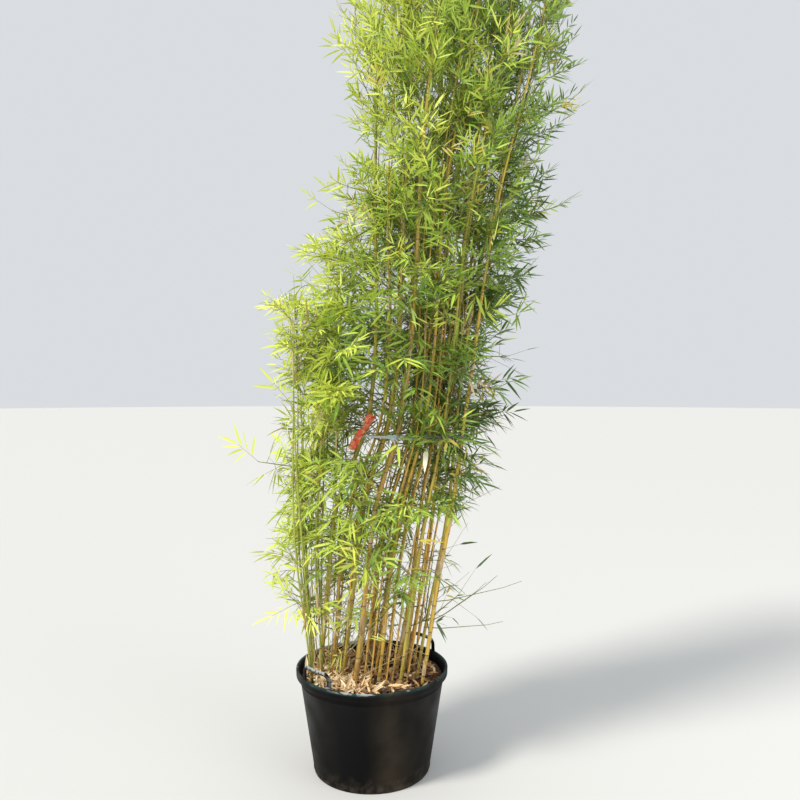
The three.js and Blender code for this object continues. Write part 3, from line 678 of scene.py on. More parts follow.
    def grow_twig(self, start: Array, tip: Array, reach: float, draw: Draw) -> None:
        """Grows one straight twig with its end leaves.

        Args:
            start: Its root.
            tip: Its tip.
            reach: The furthest out its leaves may be.
            draw: Where the numbers come from.
        """
        self.limbs.append(np.array([start, mix(start, tip, 0.5), tip]))
        self.grow_leaves(start, tip, self.PER_TWIG, reach, draw)
        self.limb_starts.append(start + unit(tip - start) * self.STEM_RADIUS * 2.0)
        self.limb_ends.append(tip)

    def has_room(self, starts: Array, tips: Array, reach: float) -> Array:
        """Tests which twigs have room."""
        beyond = starts + unit(tips - starts) * self.STEM_RADIUS * 2.0
        return self.clear(starts, tips, self.TWIG_RADIUS, reach) & self.apart(beyond, tips, self.TWIG_ROOM)

    def grow_stem(self, draw: Draw) -> Array:
        """Grows the stem from its cane's middle line to the heart of the cell.

        Args:
            draw: Where the numbers come from.

        Returns:
            Its three points.
        """
        start = self.bearer.middle_at(self.height)
        for _ in range(self.TRIES):
            draws = draw.take(4)
            heart = self.cell.points_in(self.STEM_END, draws)
            bend = mix(start, heart, 0.5) - UP * self.SAG * draws[3]
            starts, ends = np.array([start, bend]), np.array([bend, heart])
            if self.clear(starts, ends, self.STEM_RADIUS, 1.0, self.bearer.name).all():
                return np.array([start, bend, heart])
        raise ValueError(f"no room for the stem of {self.cell.name}")

    def on_stem(self, shares: Array) -> Array:
        """Returns the points on the stem at shares of its length."""
        foot, bend, heart = self.stem
        shares = np.atleast_1d(shares)[:, None]
        return np.where(shares < 0.5, mix(foot, bend, shares * 2.0), mix(bend, heart, shares * 2.0 - 1.0))

    def grow_sprig(self) -> None:
        """Grows the long twig that stands out of the crown here, if this mass has one."""
        if self.cell.name not in self.SPRIGS:
            return
        draw, end = Draw(self.cell.seed * self.SPRIG_SEED), self.SPRIGS[self.cell.name]
        for _ in range(self.TRIES):
            start = self.on_stem(mix(*self.SPRIG_ROOTS, draw.one()))[0]
            tip = end - unit(end - start) * self.LEAF_LENGTH * mix(*self.SPRIG_LEAF, draw.one())
            if self.has_room(start[None], tip[None], self.SPRIG_REACH)[0]:
                self.grow_twig(start, tip, self.SPRIG_REACH, draw)
                return

    def grow(self) -> None:
        """Grows the stem, the sprig and the twigs, each with its end leaves."""
        self.stem = self.grow_stem(Draw(self.cell.seed))
        self.places = [self.stem[0]]
        self.limbs.append(self.stem)
        self.grow_sprig()
        draw = Draw(self.cell.seed * self.STEM_SEED)
        self.grow_leaves(self.stem[1], self.stem[2], self.PER_STEM, 1.0, draw)
        for k in range(self.TWIGS):
            draw = Draw(self.cell.seed * self.TWIG_SEED + k)
            draws = draw.take(self.TRIES * 4).reshape(self.TRIES, 4)
            starts = self.on_stem(mix(*self.TWIG_ROOTS, (k + draws[:, 0]) / self.TWIGS))
            tips = self.cell.points_in(self.TWIG_END, draws[:, 1:])
            lengths = norm(tips - starts, axis=-1)
            allowed = (lengths >= self.LEAF_LENGTH * self.SHORTEST) & (lengths <= self.LONGEST)
            allowed &= self.has_room(starts, tips, 1.0)
            pick = self.loneliest(allowed, tips)
            if pick is not None:
                self.grow_twig(starts[pick], tips[pick], 1.0, draw)


@dataclass
class TieRule:
    """The outline of the tie round the clump."""

    z: float = 1312.0
    height: float = 14.0
    thickness: float = 2.2
    corners: int = 12
    least_turn: float = 0.5

    def hull(self, points: list[Pair]) -> list[Pair]:
        """Finds the smallest convex outline round points.

        Args:
            points: The points.

        Returns:
            Its corners, counterclockwise.
        """

        def half(ordered: list[Pair]) -> list[Pair]:
            """Keeps the points where one side of the outline turns left.

            Args:
                ordered: The points in order across.

            Returns:
                The side's corners, but its last.
            """
            kept: list[Pair] = []
            for p in ordered:
                while len(kept) > 1:
                    (ox, oy), (ax, ay) = kept[-2], kept[-1]
                    if (ax - ox) * (p[1] - oy) - (ay - oy) * (p[0] - ox) > self.least_turn:
                        break
                    kept.pop()
                kept.append(p)
            return kept[:-1]

        ordered = sorted(points)
        return half(ordered) + half(ordered[::-1])

    def outline(self, canes: Sequence[CaneLine], distance: float) -> Array:
        """Wraps the clump's canes.

        Args:
            canes: Every cane.
            distance: How far off the canes it lies.

        Returns:
            The corners of the outline.
        """
        points = []
        for cane in (c for c in canes if not c.is_shoot()):
            for z in (self.z - self.height / 2.0, self.z + self.height / 2.0):
                middle = cane.middle_at(z)
                radius = (float(cane.radius_at(z)) + distance) / cos(pi / self.corners)
                for k in range(self.corners):
                    angle = k / self.corners * TURN
                    points.append((middle[0] + radius * cos(angle), middle[1] + radius * sin(angle)))
        return np.array(self.hull(points))

    def segments(self, canes: Sequence[CaneLine]) -> Segments:
        """Returns the tie as segments to keep clear of."""
        corners = self.outline(canes, GAP + self.thickness / 2.0)
        starts = np.column_stack([corners, np.full(len(corners), self.z)])
        radii = np.full(len(starts), self.height / 2.0)
        return Segments(starts, np.roll(starts, -1, axis=0), radii, np.full(len(starts), "tie"))


@dataclass
class RibbonRule:
    """Where the marker ribbon is tied, and where its tail and ear point."""

    z: float = 1346.0
    tail: Triple = (-0.5, -0.5, -0.8)
    tail_length: float = 118.0
    tail_room: float = 20.0
    ear: Triple = (0.42, -0.3, 0.85)
    ear_length: float = 58.0
    ear_room: float = 18.0

    def cane(self, canes: Sequence[CaneLine]) -> CaneLine:
        """Returns the front cane on the clump's left that carries the ribbon."""
        near = [c for c in canes if not c.is_shoot() and c.u < 0 and c.v < 0]
        return min(near, key=lambda c: float(c.at(self.z)[:2].sum()))

    def segments(self, canes: Sequence[CaneLine]) -> Segments:
        """Gives the ribbon's tail and ear as lines to keep clear of.

        Args:
            canes: Every cane.

        Returns:
            The two lines.
        """
        knot = self.cane(canes).middle_at(self.z)
        ends = np.array([
            knot + unit(self.tail) * self.tail_length,
            knot + unit(self.ear) * self.ear_length,
        ])
        rooms = np.array([self.tail_room, self.ear_room])
        return Segments(np.array([knot, knot]), ends, rooms, np.array(["ribbon", "ribbon"]))


# Meshes: arrays for the many small things, and bmesh for the rest.


def mesh_of(name: str, vertices: Array, groups: Sequence[tuple[Array, Array | int]]) -> Mesh:
    """Makes a smooth mesh from arrays.

    Args:
        name: The mesh's name.
        vertices: The points in metres, in rows.
        groups: Corner numbers, a row for each face, with the finish of each row or of all.

    Returns:
        The new mesh.
    """
    mesh = bpy.data.meshes.new(name)
    totals = np.concatenate([np.full(len(rows), rows.shape[1], np.int32) for rows, _ in groups])
    corners = np.concatenate([rows.ravel() for rows, _ in groups]).astype(np.int32)
    mesh.vertices.add(len(vertices))
    mesh.vertices.foreach_set("co", vertices.astype(np.float32).ravel())
    mesh.loops.add(len(corners))
    mesh.loops.foreach_set("vertex_index", corners)
    mesh.polygons.add(len(totals))
    mesh.polygons.foreach_set("loop_start", np.cumsum(totals) - totals)
    slots = np.concatenate([np.broadcast_to(slot, len(rows)) for rows, slot in groups])
    mesh.polygons.foreach_set("material_index", slots.astype(np.int32))
    mesh.polygons.foreach_set("use_smooth", np.ones(len(totals), bool))
    mesh.update(calc_edges=True)
    mesh.validate()
    return mesh


def twig_mesh(name: str, lots: Sequence[tuple[Array, float, float, int]]) -> Mesh:
    """Makes a mesh of thin tubes.

    Args:
        name: The mesh's name.
        lots: Middle lines in millimetres, with their radii at root and tip and their sides.

    Returns:
        The new mesh.
    """
    vertices, corners, count = [], [], 0
    for curves, root, tip, sides in lots:
        n, m = curves.shape[:2]
        radii = np.linspace(root, tip, m)[None, :, None, None]
        along = unit(np.gradient(curves, axis=1))
        side = unit(np.cross(along, UP + 1e-3))
        other = np.cross(along, side)
        angle = (np.arange(sides) / sides * TURN)[None, None, :, None]
        ring = side[:, :, None] * np.cos(angle) + other[:, :, None] * np.sin(angle)
        k, j = np.meshgrid(np.arange(m - 1), np.arange(sides), indexing="ij")
        low, high = k * sides + j, k * sides + (j + 1) % sides
        quads = np.stack([low, high, high + sides, low + sides], axis=-1).reshape(-1, 4)
        starts = np.arange(n)[:, None, None] * m * sides + count
        vertices.append((curves[:, :, None] + ring * radii).reshape(-1, 3))
        corners.append((starts + quads[None]).reshape(-1, 4))
        count += n * m * sides
    return mesh_of(name, np.concatenate(vertices) * MM, [(np.concatenate(corners), 0)])


def evenly(line: Array, step: float) -> Array:
    """Returns points at even distances along a line, from its start to its end."""
    gone = np.append(0.0, np.cumsum(norm(np.diff(line, axis=0), axis=-1)))
    places = np.linspace(0.0, gone[-1], int(gone[-1] / step) + 1)
    return np.stack([np.interp(places, gone, row) for row in line.T], axis=-1)


def spun(profile: Sequence[Pair], steps: int) -> BMesh:
    """Spins a profile once round the upright axis.

    Args:
        profile: Radii and heights, with both ends on the axis.
        steps: How many steps it takes.

    Returns:
        The closed shape.
    """
    bm = bmesh.new()
    line = [bm.verts.new((r, 0.0, z)) for r, z in profile]
    edges = [bm.edges.new(pair) for pair in zip(line, line[1:])]
    bmesh.ops.spin(
        bm, geom=line + edges, cent=(0, 0, 0), axis=(0, 0, 1), dvec=(0, 0, 0),
        angle=TURN, steps=steps, use_merge=True, use_duplicate=False,
    )
    bmesh.ops.remove_doubles(bm, verts=bm.verts, dist=1e-5)
    return bm


def wrap_tube(
    bm: BMesh, sides: int, rings: int, place: Callable[[int, float], Vector],
    slot: Callable[[int], int] = lambda ring: 0,
) -> None:
    """Wraps a grid into a closed tube.

    Args:
        bm: The mesh that gets the tube.
        sides: How many sides the tube has.
        rings: How many rings it has from end to end.
        place: Gives the point at a ring and an angle round it.
        slot: Gives the finish of the faces that start at a ring.
    """
    made = bmesh.ops.create_grid(bm, x_segments=sides, y_segments=rings - 1, size=0.5)["verts"]
    grid = {v: (round((v.co.y + 0.5) * (rings - 1)), (v.co.x + 0.5) * TURN) for v in made}
    for face in {f for v in made for f in v.link_faces}:
        face.material_index = slot(min(grid[v][0] for v in face.verts))
    for v, (ring, angle) in grid.items():
        v.co = place(ring, angle)
    bmesh.ops.remove_doubles(bm, verts=made, dist=1e-6)
    open_edges = [e for e in bm.edges if e.is_boundary]
    bmesh.ops.holes_fill(bm, edges=open_edges, sides=0)


def finished(bm: BMesh, name: str, outwards: bool = True) -> Mesh:
    """Turns a bmesh into a smooth mesh, and frees it.

    Args:
        bm: The bmesh.
        name: The mesh's name.
        outwards: Whether its faces are turned outwards.

    Returns:
        The mesh.
    """
    if outwards:
        bmesh.ops.recalc_face_normals(bm, faces=bm.faces)
    for face in bm.faces:
        face.smooth = True
    mesh = bpy.data.meshes.new(name)
    bm.to_mesh(mesh)
    bm.free()
    return mesh


def add(name: str, data: bpy.types.ID, place: Sequence[float] = (0.0, 0.0, 0.0)) -> bpy.types.Object:
    """Adds an object to the scene.

    Args:
        name: Its name.
        data: Its mesh, light or camera.
        place: Where it stands.

    Returns:
        The object.
    """
    made = bpy.data.objects.new(name, data)
    made.location = place
    bpy.context.scene.collection.objects.link(made)
    return made


def enter(mesh: Mesh, materials: Sequence[Material], nodes: Sequence[str] = ()) -> None:
    """Adds a piece to the plant.

    Args:
        mesh: The piece's mesh, which also names it.
        materials: Its materials, in the order of its faces' numbers.
        nodes: The solids that it stands for.
    """
    piece = add(mesh.name, mesh)
    for material in materials:
        mesh.materials.append(material)
    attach(piece, "root")
    if nodes:
        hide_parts(*nodes)
    mesh.calc_loop_triangles()
    log.info("%s: %d triangles", mesh.name, len(mesh.loop_triangles))


# Finishes.


def srgb(red: int, green: int, blue: int) -> Colour:
    """Returns a colour given in the usual 0 to 255 steps as linear light."""
    return tuple(c / 12.92 if c <= 0.04045 else ((c + 0.055) / 1.055) ** 2.4 for c in (
        red / 255.0, green / 255.0, blue / 255.0))


class Paint:
    """A material under way, with short calls that add its nodes and join them."""

    def __init__(self, name: str, roughness: float = 0.5) -> None:
        """Starts a material on the piece's own coordinates."""
        self.material = bpy.data.materials.new(name)
        self.material.use_nodes = True
        self.tree = self.material.node_tree
        self.shader = self.tree.nodes["Principled BSDF"]
        self.shader.inputs["Roughness"].default_value = roughness

    def put(self, socket: Socket, value: object) -> None:
        """Joins a socket to another, or sets its value.

        Args:
            socket: The socket.
            value: The other socket, a number, a vector or a colour.
        """
        if isinstance(value, Socket):
            self.tree.links.new(value, socket)
        elif socket.type == "RGBA":
            socket.default_value = (*value, 1.0)
        else:
            socket.default_value = value

    def node(self, kind: str, **inputs: object) -> bpy.types.Node:
        """Adds a node and puts its inputs.

        Args:
            kind: The kind of node.
            **inputs: The inputs by name, with underscores for spaces.

        Returns:
            The node.
        """
        made = self.tree.nodes.new(kind)
        for name, value in inputs.items():
            self.put(made.inputs[name.replace("_", " ")], value)
        return made

    def place(self, stretch: Triple = (1.0, 1.0, 1.0)) -> Socket:
        """Returns the object's own coordinates in metres, stretched along its axes."""
        where = self.node("ShaderNodeTexCoord").outputs["Object"]
        return self.node("ShaderNodeMapping", Vector=where, Scale=stretch).outputs["Vector"]

    def grain(self, scale: float, detail: float = 3.0, stretch: Triple = (1.0, 1.0, 1.0)) -> Socket:
        """Returns a noise of a scale per metre."""
        return self.node(
            "ShaderNodeTexNoise", Vector=self.place(stretch), Scale=scale, Detail=detail
        ).outputs["Fac"]

    def axis(self, name: str) -> Socket:
        """Returns the place along an axis: Z is the height above the ground."""
        return self.node("ShaderNodeSeparateXYZ", Vector=self.place()).outputs[name]

    def span(self, value: Socket, low: float, high: float, start: float = 0.0, end: float = 1.0) -> Socket:
        """Returns the value with the range from low to high mapped onto start to end, and held there."""
        return self.node(
            "ShaderNodeMapRange", Value=value, From_Min=low, From_Max=high, To_Min=start, To_Max=end
        ).outputs["Result"]

    def times(self, first: Socket, second: Socket | float) -> Socket:
        """Returns the product of two values."""
        made = self.tree.nodes.new("ShaderNodeMath")
        made.operation = "MULTIPLY"
        self.put(made.inputs[0], first)
        self.put(made.inputs[1], second)
        return made.outputs[0]

    def blend(self, share: Socket, first: object, second: object) -> Socket:
        """Mixes two colours.

        Args:
            share: The second one's share.
            first: The first colour.
            second: The second colour.

        Returns:
            The mix.
        """
        made = self.tree.nodes.new("ShaderNodeMix")
        made.data_type = "RGBA"
        self.put(made.inputs[0], share)
        self.put(made.inputs[6], first)
        self.put(made.inputs[7], second)
        return made.outputs[2]

    def wear(self, socket: str, value: object) -> None:
        """Sets one of the surface's own values, or joins it to a pattern."""
        self.put(self.shader.inputs[socket], value)

    def relief(self, height: Socket, strength: float, depth: float) -> None:
        """Raises the surface by a pattern, to a depth in metres."""
        bump = self.node("ShaderNodeBump", Height=height, Strength=strength, Distance=depth)
        self.wear("Normal", bump.outputs["Normal"])


@dataclass(frozen=True)
class TubPlastic:
    """Black moulded plastic with a film of dust and pale scuffs near the rim, plus painted light: a painted
    highlight along the rim, the handle tops and part of the rim's edge, and a painted reflection on the
    right.
    """

    name: str = "tub_plastic"
    black: Colour = srgb(5, 6, 6)
    film: Colour = srgb(27, 23, 20)
    # Colour of the painted reflection.
    glow: Colour = srgb(50, 43, 33)
    # The rim colour is a painted highlight.
    rim: Colour = srgb(46, 66, 66)
    # Pale scuffs, and also the colour of the painted highlights and sheen on the rim edge and handle tops.
    scuff: Colour = srgb(168, 172, 170)
    splash: Colour = srgb(96, 84, 70)

    def material(self) -> Material:
        """Lays the dust, the scuffs, the painted highlights and sheen, the painted reflection and the
        splashes over the black.

        Returns:
            The material.
        """
        paint = Paint(self.name)
        height = paint.axis("Z")
        across = paint.axis("X")
        span, times, grain = paint.span, paint.times, paint.grain
        film = span(grain(4.0, 4.0, (1.0, 1.0, 0.6)), 0.46, 0.72, 0.0, 0.8)
        # Painted highlight: a lighter teal band round the top of the rim, broken by noise.
        rim = times(span(height, 0.386, 0.399), span(height, 0.404, 0.4015))
        rim = times(rim, span(grain(12.0), 0.35, 0.6))
        # Dust and painted sheen: a pale line on the back left of the rim, where light catches it.
        back = times(span(paint.axis("Y"), 0.08, 0.16), span(across, 0.06, -0.02))
        dust_and_sheen = times(back, span(height, 0.386, 0.391, 0.0, 0.75))
        # Scratches are pale scuffs all round the rim's top edge; the streaks between x -0.17 and 0.08 m are
        # pale scuffs and a painted highlight.
        front = times(span(across, -0.17, -0.12), span(across, 0.08, 0.01))
        scratches = span(grain(34.0, 7.0, (1.0, 1.0, 2.0)), 0.64, 0.7)
        rim_scuffs_and_highlight = times(span(grain(22.0, 7.0, (1.0, 1.0, 3.0)), 0.42, 0.5), front)
        edge = span(height, 0.392, 0.3985)
        # Painted highlight along the tops of the handles, broken by noise.
        worn = times(span(height, 0.444, 0.453), span(grain(60.0, 5.0), 0.42, 0.55))
        # Painted reflection: a broad warm brown patch on the right side of the tub.
        front_right = times(span(across, -0.02, 0.06), span(across, 0.17, 0.09))
        reflection_patch = times(front_right, span(grain(6.0, 4.0), 0.35, 0.65, 0.1, 0.9))
        low = times(span(height, 0.07, 0.0), span(grain(30.0, 5.0), 0.42, 0.7))
        colour = self.black
        for share, tone in (
            (film, self.film), (rim, self.rim), (times(scratches, edge), self.scuff),
            (times(rim_scuffs_and_highlight, edge), self.scuff), (worn, self.scuff), (dust_and_sheen, self.scuff),
            (reflection_patch, self.glow), (times(low, 0.4), self.splash),
        ):
            colour = paint.blend(share, colour, tone)
        paint.wear("Base Color", colour)
        paint.wear("Specular IOR Level", 0.1)
        paint.wear("Roughness", span(grain(9.0, 5.0), 0.3, 0.7, 0.34, 0.6))
        paint.relief(grain(420.0, 2.0), 0.12, 0.0006)
        return paint.material


@dataclass(frozen=True)
class PottingMix:
    """Dark crumbly bark and peat with a few pale grains."""

    name: str = "potting_mix"
    dark: Colour = srgb(52, 38, 28)
    pale: Colour = srgb(122, 92, 64)
    grit: Colour = srgb(190, 176, 150)

    def material(self) -> Material:
        """Returns the material."""
        paint = Paint(self.name, 0.95)
        crumbs = paint.grain(90.0, 5.0)
        colour = paint.blend(paint.span(crumbs, 0.4, 0.66), self.dark, self.pale)
        grit = paint.span(paint.grain(310.0, 2.0), 0.7, 0.74)
        paint.wear("Base Color", paint.blend(grit, colour, self.grit))
        paint.relief(crumbs, 0.9, 0.006)
        return paint.material


@dataclass(frozen=True)
class CaneSkin:
    """The smooth hard skin of a cane: fine streaks, mossy patches and a greener upper part."""

    name: str
    light: Colour
    dark: Colour
    green: Colour = srgb(168, 166, 64)
    soiled: Colour = srgb(96, 70, 44)
    greenest: float = 0.55

    def material(self) -> Material:
        """Lays the patches, the green and the soiled foot over the streaks.

        Returns:
            The material.
        """
        paint = Paint(self.name)
        height = paint.axis("Z")
        streak = paint.grain(1.0, 4.0, (260.0, 260.0, 9.0))
        colour = paint.blend(paint.span(streak, 0.3, 0.68), self.dark, self.light)
        patches = paint.span(paint.grain(7.0, 3.0, (1.0, 1.0, 0.5)), 0.5, 0.7, 0.0, 0.6)
        colour = paint.blend(patches, colour, self.green)
        colour = paint.blend(paint.span(height, 1.2, 3.2, 0.0, self.greenest), colour, self.green)
        foot = paint.times(paint.span(height, 0.5, 0.37), paint.span(paint.grain(40.0, 4.0), 0.35, 0.6))
        paint.wear("Base Color", paint.blend(foot, colour, self.soiled))
        paint.wear("Roughness", paint.span(streak, 0.3, 0.7, 0.32, 0.52))
        paint.relief(streak, 0.25, 0.0008)
        return paint.material


@dataclass(frozen=True)
class Speckled:
    """A dry plant surface of two tones in fine fibres, such as scars, sheaths, twigs and stubs."""

    name: str
    first: Colour
    second: Colour
    stretch: Triple = (160.0, 160.0, 30.0)
    rough: float = 0.7

    def material(self) -> Material:
        """Returns the material."""
        paint = Paint(self.name, self.rough)
        fibres = paint.grain(1.0, 4.0, self.stretch)
        paint.wear("Base Color", paint.blend(paint.span(fibres, 0.34, 0.66), self.first, self.second))
        paint.relief(fibres, 0.35, 0.0008)
        return paint.material


@dataclass(frozen=True)
class RibbonFilm:
    """Thin glossy red plastic film, faded and creased."""

    name: str = "ribbon_film"
    red: Colour = srgb(255, 104, 80)
    faded: Colour = srgb(255, 192, 146)

    def material(self) -> Material:
        """Returns the material."""
        paint = Paint(self.name, 0.36)
        creases = paint.grain(46.0, 4.0, (1.0, 1.0, 2.4))
        paint.wear("Base Color", paint.blend(paint.span(creases, 0.46, 0.68), self.red, self.faded))
        paint.relief(creases, 0.6, 0.003)
        return paint.material


@dataclass(frozen=True)
class CordFibre:
    """Pale blue-grey twisted cord, darker towards the right, with dark flecks in its fibres."""

    name: str = "cord_fibre"
    pale: Colour = srgb(206, 218, 224)
    worn: Colour = srgb(92, 102, 104)

    def material(self) -> Material:
        """Returns the material."""
        paint = Paint(self.name, 0.75)
        across = paint.axis("X")
        # Darker towards +X, from x 0.1 m to 0.2 m.
        worn = paint.span(across, 0.1, 0.2, 0.0, 0.85)
        fibres = paint.grain(700.0, 3.0, (1.0, 1.0, 0.5))
        colour = paint.blend(worn, self.pale, self.worn)
        paint.wear("Base Color", paint.blend(paint.span(fibres, 0.55, 0.75, 0.0, 0.5), colour, self.worn))
        paint.relief(fibres, 0.6, 0.0012)
        return paint.material


class Tint(Enum):
    """A plain colour."""

    def material(self, kind: str, roughness: float) -> Material:
        """Returns this tint as the finish of a kind of leaf."""
        paint = Paint(f"{kind}_{self.name.lower()}", roughness)
        paint.wear("Base Color", self.value)
        return paint.material


class LeafTint(Tint):
    """The plain colours dealt out to the sprays, from shade to sun, then yellowed and dried."""

    SHADE = srgb(82, 108, 48)
    DEEP = srgb(102, 136, 56)
    OLIVE = srgb(128, 156, 62)
    MIDDLE = srgb(146, 180, 70)
    FRESH = srgb(171, 199, 74)
    BRIGHT = srgb(195, 215, 82)
    SUNLIT = srgb(218, 229, 98)
    YELLOW = srgb(208, 188, 86)
    DRY = srgb(204, 184, 140)
    CREAM = srgb(255, 250, 224)


class LitterTint(Tint):
    """The plain colours of fallen leaves, from fresh straw to rotten brown; the pale ones also carry painted
    sunlight at the left.
    """

    CREAM = srgb(250, 230, 192)
    STRAW = srgb(232, 200, 150)
    TAN = srgb(196, 154, 106)
    RUSSET = srgb(134, 94, 68)
    BROWN = srgb(76, 56, 42)


# Leaves and twigs.


@dataclass
class Blade:
    """One leaf's shape: a few faces folded along the midrib, widest below its middle."""

    places: Steps = (0.0, 0.24, 0.62, 1.0)
    widths: Steps = (0.0, 1.0, 0.84, 0.0)
    fold: float = 0.16

    def __post_init__(self) -> None:
        """Shapes a grid into the blade, its width and length both 1."""
        bm = bmesh.new()
        rows = len(self.places) - 1
        bmesh.ops.create_grid(bm, x_segments=2, y_segments=rows, size=0.5)
        for v in bm.verts:
            row = round((v.co.y + 0.5) * rows)
            across = v.co.x * self.widths[row]
            v.co = (across, self.places[row], abs(across) * self.fold * 2.0)
        bmesh.ops.remove_doubles(bm, verts=bm.verts, dist=1e-4)
        bm.verts.index_update()
        self.points = np.array([v.co for v in bm.verts])
        faces = [[v.index for v in f.verts] for f in bm.faces]
        bm.free()
        self.groups = [np.array([f for f in faces if len(f) == n]) for n in (3, 4)]

    def mesh(self, name: str, leaves: "Leaves") -> Mesh:
        """Makes one mesh of many leaves.

        Args:
            name: The mesh's name.
            leaves: The leaves, each with its own place, size, droop and tint.

        Returns:
            The mesh.
        """
        side = unit(np.cross(leaves.directions, leaves.facings))
        up = np.cross(side, leaves.directions)
        across, along, rise = self.points.T[..., None]
        size, width, droop = (v[:, None, None] for v in (leaves.sizes, leaves.widths, leaves.droops))
        points = leaves.roots[:, None] + leaves.directions[:, None] * along * size
        points = points + side[:, None] * across * width + up[:, None] * rise * width
        points = points - UP * along**2 * size * droop
        start = np.arange(len(leaves.sizes))[:, None, None] * len(self.points)
        return mesh_of(name, points.reshape(-1, 3) * MM, [
            ((start + g[None]).reshape(-1, g.shape[1]), np.repeat(leaves.tints, len(g)))
            for g in self.groups
        ])


@dataclass
class Leaves(Rows):
    """Leaves of any number."""

    roots: Array
    directions: Array
    facings: Array
    sizes: Array
    widths: Array
    droops: Array
    tints: Array

    def ends(self) -> Array:
        """Returns the tips of the leaves."""
        return self.roots + (self.directions - UP * self.droops[:, None]) * self.sizes[:, None]


@dataclass
class CaneTable:
    """The places and radii of canes at even heights, to keep leaves out of them."""

    canes: list[CaneLine]
    foot: float = 360.0
    step: float = 20.0

    def __post_init__(self) -> None:
        """Reads every cane at every height."""
        self.levels = np.arange(self.foot, Crown.TOP + self.step, self.step)
        self.lines = np.array([cane.at(self.levels)[:, :2] for cane in self.canes])
        self.radii = np.array([
            np.where(self.levels <= cane.top, cane.radius_at(self.levels), -9.0) for cane in self.canes
        ])

    def gaps(self, points: Array) -> Array:
        """Measures how far points are from the nearest cane's skin.

        Args:
            points: The points.

        Returns:
            The level distances.
        """
        place = np.clip((points[:, 2] - self.foot) / self.step, 0.0, len(self.levels) - 1.001)
        k, rest = place.astype(int), (place - place.astype(int))[:, None]
        gaps = np.full(len(points), 1e9)
        for line, radius in zip(self.lines, self.radii, strict=True):
            middle = mix(line[k], line[k + 1], rest)
            gaps = np.minimum(gaps, norm(points[:, :2] - middle, axis=-1) - radius[k])
        return gaps

    def cleared_by(self, leaves: Leaves) -> Array:
        """Tests which leaves pass through no cane."""
        clear = np.ones(len(leaves.sizes), bool)
        for share in (0.25, 0.55, 0.9):
            clear &= self.gaps(mix(leaves.roots, leaves.ends(), share)) > 1.0
        return clear


